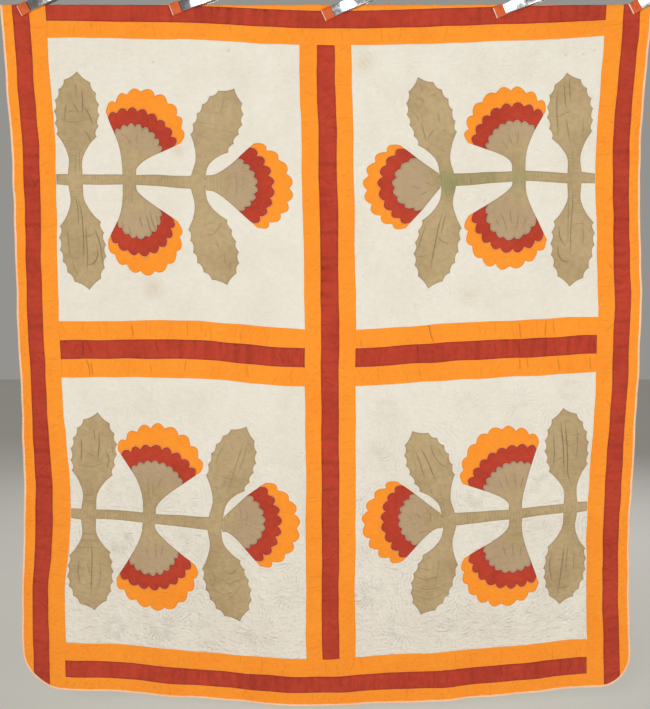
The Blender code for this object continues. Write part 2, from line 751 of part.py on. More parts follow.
def clamp_pivot():
    """The pin with its two heads, and the wound spring on it, as one turned solid."""
    flange = max(row["half_width"] for row in rows_as_dicts(ARM_COLUMNS, ARM)) + TOUCH
    half = (
        (SPRING_HALF_LENGTH, SPRING_RADIUS), (SPRING_HALF_LENGTH, PIN_RADIUS), (flange, PIN_RADIUS),
        (flange, PIN_HEAD_RADIUS), (flange + PIN_HEAD_LENGTH, PIN_HEAD_RADIUS),
    )
    profile = [(-wide, radius) for wide, radius in reversed(half)] + list(half)
    sections = []
    for wide, radius in profile:
        ring = []
        for step in range(PIVOT_SIDES):
            turn = 2 * math.pi * (step + 0.5) / PIVOT_SIDES
            ring.append(Vector((PIVOT_ALONG + radius * math.cos(turn), radius * math.sin(turn), wide)))
        sections.append(ring)
    return lofted(sections, "pivot")


def clamps():
    """Five equal clamps, each gripping the fold and rising to the right."""
    steel = finish("steel", "steel", 0.25, 1.0)
    vinyl = finish("vinyl", "vinyl", 0.5)
    pieces = {
        "front_arm": (clamp_arm("front"), steel),
        "back_arm": (clamp_arm("back"), steel),
        "front_tip": (clamp_tip("front"), vinyl),
        "back_tip": (clamp_tip("back"), vinyl),
        "pivot": (clamp_pivot(), steel),
    }
    for mesh, material in pieces.values():
        mesh.materials.append(material)
    for row in rows_as_dicts(CLAMP_COLUMNS, CLAMPS):
        for part, (mesh, _) in pieces.items():
            piece = bpy.data.objects.new(f"{row['name']}_{part}", mesh)
            piece.matrix_world = (
                Matrix.Translation((row["across"], 0, row["height"]))
                @ Matrix.Rotation(-math.radians(row["rise"]), 4, "Y")
            )
            bpy.context.scene.collection.objects.link(piece)


def main():
    for old in list(bpy.data.objects):
        bpy.data.objects.remove(old)
    facets = Facets(Hanging())
    binding(quilt_body(facets))
    applique(facets)
    clamps()


main()
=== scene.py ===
"""Looks of the applique quilt hung from five spring clamps. Metres, +Z up, the front faces -Y.

A place on the cloth is flat: (across, down) from the middle of the centre strip and from the seam
between the top orange and red strips. Hang carries a flat place to where it hangs, as the solids do.
Every patch, applique piece, backing and binding is built flat and then hung.
"""

from __future__ import annotations

import logging
import math
from collections.abc import Callable, Iterable, Sequence
from dataclasses import dataclass, field
from enum import Enum

import bmesh
import bpy
import numpy as np
from mathutils import Matrix, Vector
from mathutils.geometry import delaunay_2d_cdt
from mathutils.kdtree import KDTree


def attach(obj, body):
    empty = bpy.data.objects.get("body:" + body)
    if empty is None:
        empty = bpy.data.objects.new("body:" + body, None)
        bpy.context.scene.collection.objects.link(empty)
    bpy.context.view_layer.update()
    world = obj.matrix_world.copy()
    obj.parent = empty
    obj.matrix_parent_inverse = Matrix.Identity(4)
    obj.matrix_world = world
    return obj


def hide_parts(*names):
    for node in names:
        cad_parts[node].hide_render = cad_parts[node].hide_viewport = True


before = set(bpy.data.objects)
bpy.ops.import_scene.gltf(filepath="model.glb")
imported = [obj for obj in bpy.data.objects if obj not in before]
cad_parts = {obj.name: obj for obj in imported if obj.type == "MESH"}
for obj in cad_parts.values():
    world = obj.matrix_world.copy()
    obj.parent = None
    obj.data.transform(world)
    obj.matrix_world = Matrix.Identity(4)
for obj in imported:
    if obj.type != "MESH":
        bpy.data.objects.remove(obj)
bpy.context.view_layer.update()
log = logging.getLogger("quilt")

# The cloth as the solids have it
CLOTH_THICKNESS = 0.004
FOLD_RADIUS = 0.0038
HALF_WIDTH = 0.9585
TOP, BOTTOM = -0.037, 2.152
BORDER_SEAMS = (0.830, 0.880, 0.929)
SASH_SEAMS = (0.028, 0.080)
TOP_SEAMS = (0.054, 0.106)
MIDDLE_SEAMS = (0.963, 1.022, 1.081, 1.139)
BOTTOM_SEAMS = (2.001, 2.059, 2.113)
CORNER_RADIUS = {-1: 0.110, 1: 0.095}
BINDING_WIDTH = 0.0050
BINDING_THICKNESS = 0.0052

# Sampling of the cloth over the fold is finer: flat places down, and where they lie for the triangulation
FOLD_FLAT = (-0.037, -0.027, 0.013, 2.4)
FOLD_SPREAD = (-0.117, -0.107, 0.013, 2.4)

# How far each layer stands in front of the cloth's middle
BACK_FACE = -0.0020
BACKING_FRONT = -0.0004
PATCH_BACK = -0.0001
SEAM_LIFT = 0.0009
DITCH_LIFT = 0.0012
APPLIQUE_BACK = 0.0014
APPLIQUE_RIM = 0.0017
APPLIQUE_LOW = 0.0028
TUCK = 0.0011

SHAPE_SPACING = 0.003
# Creases sink by CREASE_DEPTH times their depth and get painted shade of CREASE_SHADE times it, at most
# DARKEST_CREASE
CREASE_DEPTH = 0.0009
CREASE_SHADE = 1.7
DARKEST_CREASE = 0.88

ECHO_SPACING = 0.012
RAYS = 24
INNER_RAYS = 12


class Colour(Enum):
    """The cottons of the quilt, by the name of their material slot."""

    CREAM = "patchwork"
    ORANGE = "orange_cotton"
    RED = "red_cotton"
    TAN = "tan_cotton"
    PEACH = "binding"


def smooth_curve(places: Sequence[float], values: np.ndarray, at: np.ndarray) -> np.ndarray:
    """Read smooth curves through values at places.

    Args:
        places: Where the values lie, rising.
        values: One curve's values, or a row of them for each place of at.
        at: Where the curves are read.

    Returns:
        The curves' values at these places.
    """
    places = np.asarray(places, float)
    at = np.clip(at, places[0], places[-1])
    values = np.broadcast_to(values, (len(at), len(places)))
    last = len(places) - 1
    index = np.arange(last + 1)
    before, after = np.maximum(index - 1, 0), np.minimum(index + 1, last)
    slopes = (values[:, after] - values[:, before]) / (places[after] - places[before])
    low = np.clip(np.searchsorted(places, at, side="right") - 1, 0, last - 1)
    span = places[low + 1] - places[low]
    t = (at - places[low]) / span
    row = np.arange(len(at))
    leave, arrive = slopes[row, low] * span, slopes[row, low + 1] * span
    return (
        (2 * t**3 - 3 * t**2 + 1) * values[row, low]
        + (t**3 - 2 * t**2 + t) * leave
        + (3 * t**2 - 2 * t**3) * values[row, low + 1]
        + (t**3 - t**2) * arrive
    )


def ease(t: np.ndarray) -> np.ndarray:
    """0 to 1 with no corner at either end."""
    t = np.clip(t, 0.0, 1.0)
    return t * t * (3 - 2 * t)


def puff(phase: np.ndarray) -> np.ndarray:
    """How full the cloth is between stitched lines, which lie at whole phases."""
    return np.abs(np.sin(np.pi * phase)) ** 0.8


@dataclass(frozen=True)
class Waves:
    """Seeded plane waves that add up to an uneven surface."""

    seed: int
    shortest: float
    longest: float
    amount: float
    count: int = 12

    def __call__(self, flat: np.ndarray) -> np.ndarray:
        """The surface's height at flat places."""
        rng = np.random.default_rng(self.seed)
        length = self.shortest * (self.longest / self.shortest) ** rng.random(self.count)
        way = rng.random(self.count) * 2 * math.pi
        start = rng.random(self.count) * 2 * math.pi
        total = np.zeros(len(flat))
        for long, turn, begin in zip(length, way, start):
            along = flat[:, 0] * math.cos(turn) + flat[:, 1] * math.sin(turn)
            total += np.sin(2 * math.pi * along / long + begin) * long
        return total * self.amount / (np.sqrt(self.count / 2) * length.mean())


@dataclass(frozen=True)
class Hang:
    """Where a flat place hangs: sway, sag, soft folds, and the turn over the top."""

    sway: np.ndarray = field(default_factory=lambda: np.array((
        (0.00, -0.9745, -0.843, 0.000, 0.848, 0.9825), (0.10, -0.9695, -0.839, 0.000, 0.843, 0.9760),
        (0.45, -0.9500, -0.823, 0.008, 0.826, 0.9570), (0.90, -0.9460, -0.821, 0.016, 0.843, 0.9720),
        (1.20, -0.9400, -0.812, 0.017, 0.840, 0.9670), (1.55, -0.9390, -0.793, 0.019, 0.824, 0.9550),
        (1.80, -0.9530, -0.816, 0.018, 0.825, 0.9560), (2.20, -0.9550, -0.822, 0.021, 0.838, 0.9760),
    )))
    sag_across: tuple = (-0.96, -0.82, -0.40, 0.00, 0.40, 0.82, 0.96)
    sag_rows: np.ndarray = field(default_factory=lambda: np.array((
        (0.00, -0.005, -0.004, 0.004, 0.019, 0.010, -0.001, -0.006),
        (0.11, -0.009, -0.006, 0.000, 0.016, 0.009, -0.012, -0.018),
        (1.05, -0.008, -0.006, -0.004, 0.023, -0.001, -0.021, -0.028),
        (2.00, -0.040, -0.024, 0.009, 0.031, 0.004, -0.031, -0.046),
        (2.16, -0.040, -0.024, 0.005, 0.030, 0.007, -0.026, -0.040),
    )))
    flat_columns: tuple = (-HALF_WIDTH, -0.830, -0.080, 0.080, 0.830, HALF_WIDTH)
    sash_half: float = 0.079
    # across, lean, width, forward, starts, full
    folds: tuple = (
        (-0.86, 0.03, 0.34, 0.010, 0.25, 1.30), (-0.60, -0.04, 0.40, -0.013, 0.10, 0.90),
        (-0.26, 0.05, 0.42, 0.012, 0.15, 1.20), (0.10, 0.03, 0.46, -0.010, 0.20, 1.00),
        (0.42, -0.05, 0.40, 0.013, 0.12, 1.10), (0.72, 0.04, 0.36, -0.012, 0.15, 0.90),
        (0.93, -0.02, 0.30, 0.009, 0.30, 1.50),
    )
    wander_across: Waves = Waves(11, 0.09, 0.5, 0.0011)
    wander_down: Waves = Waves(12, 0.09, 0.5, 0.0011)
    ripple: Waves = Waves(13, 0.13, 0.45, 0.0016, 16)

    def sag(self, flat: np.ndarray) -> np.ndarray:
        """How far below its flat place the cloth hangs."""
        down = np.maximum(flat[:, 1], 0.0)
        rows = self.sag_rows
        depths = [smooth_curve(rows[:, 0], column, down) for column in rows[:, 1:].T]
        return smooth_curve(self.sag_across, np.array(depths).T, flat[:, 0])

    def sideways(self, across: np.ndarray, drop: np.ndarray) -> np.ndarray:
        """The hung X of places, from the seams either side of them.

        Args:
            across: Each place's flat distance from the middle.
            drop: How far down each hangs.

        Returns:
            The hung X of each.
        """
        columns = [smooth_curve(self.sway[:, 0], column, drop) for column in self.sway[:, 1:].T]
        left, left_block, centre, right_block, right = columns
        hung = np.array((
            left, left_block, centre - self.sash_half, centre + self.sash_half, right_block, right,
        ))
        flat = np.array(self.flat_columns)
        low = np.clip(np.searchsorted(flat, across, side="right") - 1, 0, len(flat) - 2)
        row = np.arange(len(across))
        share = (across - flat[low]) / (flat[low + 1] - flat[low])
        return hung[low, row] + (hung[low + 1, row] - hung[low, row]) * share

    def forward(self, flat: np.ndarray, drop: np.ndarray) -> np.ndarray:
        """How far the soft folds and ripples bring the cloth towards the viewer.

        Args:
            flat: Rows of (across, down).
            drop: How far down each hangs.

        Returns:
            A distance for each.
        """
        total = self.ripple(flat) * ease(drop / 0.25)
        for across, lean, width, depth, starts, full in self.folds:
            reach = np.minimum(np.abs(flat[:, 0] - across - lean * drop) / (width / 2), 1.0)
            grown = ease((drop - starts) / (full - starts))
            total += depth * grown * (1 + np.cos(np.pi * reach)) / 2
        return total

    def place(self, flat: np.ndarray, lift: np.ndarray | float) -> np.ndarray:
        """Hang flat places.

        Args:
            flat: Rows of (across, down).
            lift: How far in front of the cloth's middle each lies.

        Returns:
            Rows of hung (x, y, z).
        """
        drop = flat[:, 1] + self.sag(flat)
        quarter = math.pi / 2 * FOLD_RADIUS
        along = drop + quarter - FOLD_RADIUS - CLOTH_THICKNESS / 2
        turn = np.clip(along / FOLD_RADIUS, -math.pi / 2, math.pi / 2)
        straight = np.maximum(np.abs(along) - quarter, 0.0)
        crown = FOLD_RADIUS + lift
        grown = ease(drop / 0.1)
        x = self.sideways(flat[:, 0], np.maximum(drop, 0.0)) + self.wander_across(flat) * grown
        y = -crown * np.sin(turn) - np.where(along > quarter, self.forward(flat, drop), 0.0)
        z = -CLOTH_THICKNESS / 2 - FOLD_RADIUS + crown * np.cos(turn) - straight
        return np.stack((x, y, z + self.wander_down(flat) * grown), axis=1)


@dataclass(frozen=True)
class Outline:
    """A closed outline in the flat, with what lies inside it and how far from it."""

    points: np.ndarray

    @staticmethod
    def spaced(corners: np.ndarray, spacing: float) -> Outline:
        """An outline whose points lie no further apart than spacing, closer over the fold."""
        return Outline(gather_fold(stepped(spread_fold(np.asarray(corners, float)), spacing)))

    def outwards(self) -> np.ndarray:
        """The way out of the outline at each point."""
        before, after = np.roll(self.points, 1, axis=0), np.roll(self.points, -1, axis=0)
        along = (self.points - before) / lengths(self.points - before)
        along = along + (after - self.points) / lengths(after - self.points)
        out = np.stack((along[:, 1], -along[:, 0]), axis=1) / np.maximum(lengths(along), 1e-9)
        x, y = self.points.T
        area = np.sum(x * np.roll(y, -1) - y * np.roll(x, -1))
        return out if area > 0 else -out

    def holds(self, places: np.ndarray) -> np.ndarray:
        """Which places lie inside."""
        inside = np.zeros(len(places), bool)
        x, y = places.T
        for (ax, ay), (bx, by) in zip(self.points, np.roll(self.points, -1, axis=0)):
            if ay != by:
                inside ^= ((ay > y) != (by > y)) & (x < ax + (y - ay) * (bx - ax) / (by - ay))
        return inside

    def distance(self, places: np.ndarray, step: float = 0.0012) -> np.ndarray:
        """How far places lie from the outline, to within half a step."""
        return distance_to([self], places, step)


def lengths(rows: np.ndarray) -> np.ndarray:
    """The length of each row, as a column."""
    return np.linalg.norm(rows, axis=1, keepdims=True)


def spread_fold(flat: np.ndarray) -> np.ndarray:
    """Flat places, with the cloth over the fold drawn out."""
    return np.stack((flat[:, 0], np.interp(flat[:, 1], FOLD_FLAT, FOLD_SPREAD)), axis=1)


def gather_fold(spread: np.ndarray) -> np.ndarray:
    """Back from spread_fold."""
    return np.stack((spread[:, 0], np.interp(spread[:, 1], FOLD_SPREAD, FOLD_FLAT)), axis=1)


def rows_of(*parts: np.ndarray | float) -> np.ndarray:
    """Rows of the parts, each an array or one number for every row."""
    return np.stack(np.broadcast_arrays(*parts), axis=1)


def stepped(corners: np.ndarray, step: float) -> np.ndarray:
    """Places along a closed outline, no further apart than step."""
    made = []
    for start, end in zip(corners, np.roll(corners, -1, axis=0)):
        count = max(1, math.ceil(np.linalg.norm(end - start) / step))
        made.append(start + (end - start) * np.arange(count)[:, None] / count)
    return np.vstack(made)


def tree_of(places: np.ndarray) -> KDTree:
    """A search tree of flat places."""
    tree = KDTree(len(places))
    for index, (across, down) in enumerate(places):
        tree.insert((across, down, 0), index)
    tree.balance()
    return tree


def distance_to(outlines: Iterable[Outline], places: np.ndarray, step: float) -> np.ndarray:
    """How far places lie from the nearest of some outlines, to within half a step."""
    tree = tree_of(np.vstack([stepped(outline.points, step) for outline in outlines]))
    return np.array([tree.find((across, down, 0))[2] for across, down in places])


def triangles(flat: np.ndarray, rim: int) -> np.ndarray:
    """Triangles over flat places whose first ones are the rim in order, anticlockwise.

    Args:
        flat: Rows of (across, down), the rim's first.
        rim: How many places the rim has.

    Returns:
        Rows of three indices.
    """
    spread = spread_fold(flat)
    edges = [(index, (index + 1) % rim) for index in range(rim)]
    verts, _, faces, *_ = delaunay_2d_cdt([Vector(place) for place in spread], edges, [], 1, 1e-8)
    if len(verts) != len(flat):
        raise ValueError(f"{len(flat) - len(verts)} places of a cloth lie too close together")
    faces = np.array(faces)
    a, b, c = (spread[faces[:, corner]] for corner in range(3))
    area = (b - a)[:, 0] * (c - a)[:, 1] - (b - a)[:, 1] * (c - a)[:, 0]
    return np.where(area[:, None] < 0, faces[:, ::-1], faces)


def scatter(outline: Outline, spacing: float, seed: int) -> np.ndarray:
    """Places inside an outline in seeded, uneven, staggered rows, clear of its edge.

    Args:
        outline: What they lie in.
        spacing: How far apart they lie.
        seed: Seed of their unevenness.

    Returns:
        Rows of (across, down).
    """
    rng = np.random.default_rng(seed)
    spread = spread_fold(outline.points)
    (left, top), (right, bottom) = spread.min(axis=0), spread.max(axis=0)
    rows = np.arange(top, bottom, spacing * math.sqrt(3) / 2)
    across, down = np.meshgrid(np.arange(left, right, spacing), rows)
    across = across + (np.arange(len(rows)) % 2)[:, None] * spacing / 2
    grid = np.stack((across.ravel(), down.ravel()), axis=1)
    grid = gather_fold(grid + rng.uniform(-0.14, 0.14, grid.shape) * spacing)
    grid = grid[outline.holds(grid)]
    return grid[outline.distance(grid) > 0.6 * spacing]


@dataclass
class Face:
    """What the seen face of a cloth is like at each of its places."""

    lift: np.ndarray
    ray: np.ndarray | None = None
    line: np.ndarray | None = None
    # tone: a stain, then painted shade with real dark specks, then a blush
    tone: np.ndarray | None = None

    def crease(self, deep: np.ndarray) -> None:
        """Sink the face where creases run, and paint shade into them."""
        if self.tone is None:
            self.tone = np.zeros((len(deep), 3))
        self.lift = self.lift - CREASE_DEPTH * deep
        self.tone[:, 1] = np.maximum(self.tone[:, 1], np.minimum(CREASE_SHADE * deep, DARKEST_CREASE))


@dataclass(frozen=True)
class Creases:
    """Soft creases: rows of strength in hundredths, then flat places in millimetres."""

    rows: tuple
    width: float = 0.0014

    @staticmethod
    def by_hand(name: str) -> tuple:
        """The rows of a table whose creases give a start and then steps."""
        return tuple((strength, *np.cumsum(np.reshape(steps, (-1, 2)), axis=0).ravel())
                     for strength, *steps in CREASES[name])

    @staticmethod
    def across(patch: Patch) -> tuple:
        """Rows of short seeded creases across a strip."""
        rng = np.random.default_rng(len(patch.name) + int(1000 * abs(patch.left + patch.bottom)))
        (low, high), (side, other) = (patch.top, patch.bottom), (patch.left, patch.right)
        if not patch.upright():
            low, high, side, other = side, other, low, high
        rows = []
        for along in np.arange(low + 0.01, high - 0.01, 0.019):
            start, end = np.sort((rng.uniform(-0.15, 0.7), rng.uniform(0.3, 1.15)))
            first, last = along + rng.uniform(-0.008, 0.008), along + rng.uniform(-0.012, 0.012)
            ends = [(first, side + (other - side) * start), (last, side + (other - side) * end)]
            if patch.upright():
                ends = [place[::-1] for place in ends]
            if end - start > 0.2 and rng.random() < 0.7:
                rows.append((rng.uniform(4, 17), *(1000 * number for place in ends for number in place)))
        return tuple(rows)

    def lines(self, step: float) -> list[tuple[float, np.ndarray]]:
        """Each crease's strength, and places along it at every step."""
        made = []
        for strength, *numbers in self.rows:
            ends = np.array(numbers).reshape(-1, 2) / 1000
            along = np.concatenate(([0.0], np.cumsum(lengths(np.diff(ends, axis=0)))))
            at = np.linspace(0.0, along[-1], max(5, math.ceil(along[-1] / step)))
            made.append((strength / 100, rows_of(*(smooth_curve(along, column, at) for column in ends.T))))
        return made

    def places(self) -> np.ndarray:
        """Places on and beside every crease."""
        made = []
        for _, line in self.lines(0.0036):
            way = np.gradient(line, axis=0)
            square = rows_of(-way[:, 1], way[:, 0]) / lengths(way)
            made += [line + square * self.width * offset for offset in (0.0, -1.1, 1.1, -2.3, 2.3)]
        return np.vstack(made)

    def depth(self, flat: np.ndarray) -> np.ndarray:
        """How deep in a crease places lie, 0 to 1.

        Args:
            flat: Rows of (across, down).

        Returns:
            A depth for each.
        """
        deep = np.zeros(len(flat))
        for strength, line in self.lines(0.0009):
            near = np.all((flat > line.min(axis=0) - 0.008) & (flat < line.max(axis=0) + 0.008), axis=1)
            if near.any():
                away = np.linalg.norm(flat[near][:, None] - line[None], axis=2)
                share = away.argmin(axis=1) / (len(line) - 1)
                fade = ease(share / 0.25) * ease((1 - share) / 0.25)
                trough = strength * (0.25 + 0.75 * fade) * np.exp(-((away.min(axis=1) / self.width) ** 2))
                deep[near] = np.maximum(deep[near], trough)
        return deep


def new_object(name: str, mesh: bpy.types.Mesh, material: bpy.types.Material) -> bpy.types.Object:
    """A linked, smooth object of a mesh with its material."""
    mesh.shade_smooth()
    mesh.materials.append(material)
    piece = bpy.data.objects.new(name, mesh)
    bpy.context.scene.collection.objects.link(piece)
    return piece


def report(piece: bpy.types.Object) -> bpy.types.Object:
    """Log a finished piece and pass it on."""
    log.info("%s: %d faces", piece.name, len(piece.data.polygons))
    return piece


@dataclass
class Tailor:
    """Cuts flat outlines, gives them their face and back, and hangs them."""

    hang: Hang
    finest_inset: float = 0.003
    clear_of_rim: float = 0.0028
    least_apart: float = 0.0011
    least_thick: float = 0.0003
    sharp_angle: float = 75.0

    def cut(
        self, name: str, corners: np.ndarray, spacing: float, face_of: Callable[[np.ndarray, np.ndarray], Face],
        other_lift: float, material: bpy.types.Material, other_spacing: float,
        thin_out: Callable[[np.ndarray], np.ndarray] | None = None, creased: Creases | None = None,
        seen_from_behind: bool = False,
    ) -> bpy.types.Object:
        """Build one closed cloth.

        Args:
            name: Piece name.
            corners: Its outline in the flat.
            spacing: How far apart places of the seen face lie.
            face_of: Gives the seen face at flat places that lie so far from the outline.
            other_lift: Where the other side lies.
            material: Its cloth.
            other_spacing: How far apart places of the other side lie.
            thin_out: Which places of the seen face to keep, where something covers it.
            creased: Creases that run over it.
            seen_from_behind: Whether the seen face is the back one.

        Returns:
            The hung piece.
        """
        outline = Outline.spaced(corners, spacing)
        rim, count = outline.points, len(outline.points)
        inset = rim - outline.outwards() * TUCK
        inset = inset[(outline.distance(inset, 0.0004) > 0.75 * TUCK) & outline.holds(inset)]
        inset = spread_apart(inset, 0.5 * min(spacing, self.finest_inset))
        inner = scatter(outline, spacing, len(name) + count)
        if thin_out is not None:
            inner = inner[thin_out(inner)]
        if creased is not None:
            places = creased.places()
            places = places[outline.holds(places)]
            places = places[outline.distance(places) > self.clear_of_rim]
            inner = spread_apart(np.vstack((places, inner)), self.least_apart)
        seen, other = np.vstack((rim, inset, inner)), scatter(outline, other_spacing, 7)
        gap = np.concatenate((np.zeros(count), outline.distance(seen[count:])))
        face = face_of(seen, gap)
        if creased is not None:
            face.crease(creased.depth(seen) * ease(gap / 0.003))
        if not seen_from_behind:
            face.lift = np.maximum(face.lift, other_lift + self.least_thick)

        front, back = triangles(seen, count), triangles(np.vstack((rim, other)), count)
        back = np.where(back >= count, back + len(seen) - count, back)
        faces = (front, back[:, ::-1]) if seen_from_behind else (front[:, ::-1], back)
        places = np.vstack((self.hang.place(seen, face.lift), self.hang.place(other, other_lift)))
        mesh = bpy.data.meshes.new(name)
        mesh.from_pydata(places.tolist(), [], np.vstack(faces).tolist())
        self.mark(mesh, np.vstack((seen, other)), face, len(seen))
        piece = new_object(name, mesh, material)
        mesh.set_sharp_from_angle(angle=math.radians(self.sharp_angle))
        return report(piece)

    def mark(self, mesh: bpy.types.Mesh, flat: np.ndarray, face: Face, seen: int) -> None:
        """Give a mesh its flat places as UVs, and its sewing and tones as attributes.

        Args:
            mesh: The mesh.
            flat: Each point's flat place.
            face: Its seen face.
            seen: How many of its points belong to that face, which come first.
        """
        corner = np.zeros(len(mesh.loops), np.int32)
        mesh.loops.foreach_get("vertex_index", corner)
        mesh.uv_layers.new(name="flat").data.foreach_set("uv", flat[corner].astype(np.float32).ravel())
        for name in ("ray", "line", "tone"):
            values = getattr(face, name)
            if values is not None:
                every = np.zeros((len(flat), 3))
                every[:seen] = values
                mark_points(mesh, name, every)


def mark_points(mesh: bpy.types.Mesh, name: str, rows: np.ndarray) -> None:
    """Give a mesh a vector attribute, one row a point."""
    attribute = mesh.attributes.new(name, "FLOAT_VECTOR", "POINT")
    attribute.data.foreach_set("vector", rows.astype(np.float32).ravel())


def spread_apart(places: np.ndarray, least: float) -> np.ndarray:
    """Leave out places that lie closer than least to an earlier one.

    Args:
        places: Rows of (across, down).
        least: How close two may lie.

    Returns:
        The places left, in their order.
    """
    tree, kept = tree_of(places), np.ones(len(places), bool)
    for index, (across, down) in enumerate(places):
        if kept[index]:
            for _, other, _ in tree.find_range((across, down, 0), least):
                if other > index:
                    kept[other] = False
    return places[kept]


# The motif
@dataclass(frozen=True)
class Leaf:
    """One leaf in a block's own frame, a place being across + 1j * down."""

    base: complex
    tip: complex
    bend: float = 0.15
    neck: tuple = ((0.05, 0.022), (0.20, 0.021), (0.33, 0.041))
    teeth: tuple = ((0.41, 0.063), (0.51, 0.068), (0.62, 0.070), (0.72, 0.067), (0.82, 0.057), (0.91, 0.040))
    hollow: float = 0.0058

    @property
    def length(self) -> float:
        """From base to tip."""
        return abs(self.tip - self.base)

    def spine(self, share: np.ndarray) -> tuple[np.ndarray, np.ndarray]:
        """Places along the spine, and the way it goes there."""
        axis = self.tip - self.base
        square = 1j * math.copysign(self.bend * abs(axis), axis.imag)
        start, rest = 2 * self.bend, 1 - 2 * self.bend
        t = (np.sqrt(start**2 + 4 * rest * share) - start) / (2 * rest)
        way = square * (2 - 4 * t) + axis * 2 * t
        return self.base + square * 2 * t * (1 - t) + axis * t * t, way / np.abs(way)

    def side_stations(self) -> np.ndarray:
        """Rows of (share, width) up one side: a smooth neck, then pointed teeth with hollows between."""
        neck = np.array(self.neck + self.teeth[:1])
        shares = np.linspace(neck[0, 0], neck[-1, 0], 12)[:-1]
        rows = list(zip(shares, smooth_curve(neck[:, 0], neck[:, 1], shares)))
        for (start, width), (end, narrower) in zip(self.teeth, self.teeth[1:] + ((1.0, 0.0),)):
            for t in (0.0, 0.14, 0.32, 0.52, 0.72, 0.88):
                hollow = self.hollow * math.sin(math.pi * t) ** 0.8 * (1.4 - 0.8 * t)
                rows.append((start + (end - start) * t, width + (narrower - width) * t - hollow))
        return np.array(rows)

    def outline(self) -> list[complex]:
        """The outline from one side of the neck round the tip to the other."""
        share, width = self.side_stations().T
        place, way = self.spine(share)
        first, second = place - 1j * way * width, place + 1j * way * width
        return [*first, self.tip, *second[::-1]]

    def inside(self, places: np.ndarray) -> tuple[np.ndarray, np.ndarray, np.ndarray]:
        """Share along the spine, offset from it and half width there, for places near the leaf."""
        shares = np.linspace(0.0, 1.0, 90)
        spine, way = self.spine(shares)
        nearest = np.abs(places[:, None] - spine[None, :]).argmin(axis=1)
        offset = ((places - spine[nearest]) * np.conj(1j * way[nearest])).real
        rows = self.side_stations()
        width = np.interp(shares[nearest], np.append(rows[:, 0], 1.0), np.append(rows[:, 1], 0.004))
        return shares[nearest], offset, np.maximum(width, 0.004)


@dataclass(frozen=True)
class Flower:
    """One flower in a block's own frame: a calyx, then a red and an orange scalloped band."""

    neck: float
    apex: complex
    heading: float
    opening: float
    size: float
    calyx: float
    red: float
    orange: float

    straight = 0.35
    # shoulder radius for a flower of full size, scallops, depth of the notches
    layers = {"calyx": (0.125, 8, 0.0090), "red": (0.182, 8, 0.0125), "orange": (0.204, 8, 0.0135)}

    def arc(self, layer: str, outset: float = 0.0) -> np.ndarray:
        """A layer's scalloped edge from one side of the opening to the other.

        Args:
            layer: The calyx, or the red or orange band.
            outset: How far outside its edge to go.

        Returns:
            Its places in the block's frame.
        """
        shoulder, scallops, depth = self.layers[layer]
        reach = getattr(self, layer)
        steps = 7
        share = np.linspace(-1.0, 1.0, scallops * steps + 1)
        rng = np.random.default_rng(int(self.heading * 10 + scallops * reach * 1000))
        uneven = rng.uniform(0.75, 1.2, scallops + 1)[np.minimum((share + 1) / 2 * scallops, scallops).astype(int)]
        lobe = np.abs(np.sin(np.pi * (share + 1) / 2 * scallops)) ** 0.95
        radius = shoulder * self.size
        radius = radius + (reach - radius) * np.cos(math.pi / 2 * share) - depth * uneven * (1 - lobe) + outset
        turn = np.radians(self.heading + self.opening * share)
        return self.apex + (np.sin(turn) - 1j * np.cos(turn)) * radius

    def calyx_outline(self, neck: tuple[complex, complex], neck_way: complex) -> list[complex]:
        """The calyx from one neck point round its scallops to the other.

        Args:
            neck: Its two places on the stem.
            neck_way: The way that the neck leaves the stem.

        Returns:
            Its outline in the block's frame.
        """
        arc = self.arc("calyx")
        sides = []
        for start, corner, turn in ((neck[0], arc[0], -1), (neck[1], arc[-1], 1)):
            angle = math.radians(self.heading + turn * self.opening)
            side_way = math.sin(angle) - 1j * math.cos(angle)
            cross = (np.conj(neck_way) * side_way).imag
            pull = start + neck_way * ((np.conj(self.apex - start) * side_way).imag / cross)
            if ((pull - start) * np.conj(neck_way)).real < 0:
                pull = start + (corner - start) * 0.3
            t = np.linspace(0.0, 1.0, 10)[:-1]
            held = start + (pull - start) * self.straight
            sides.append([start, *(held * (1 - t) ** 2 + pull * 2 * t * (1 - t) + corner * t**2)])
        return sides[0] + list(arc) + sides[1][::-1]

    def band(self, layer: str) -> list[complex]:
        """The outline of the red or the orange band."""
        under = "calyx" if layer == "red" else "red"
        return [*self.arc(under, 0.0006), *self.arc(layer)[::-1]]


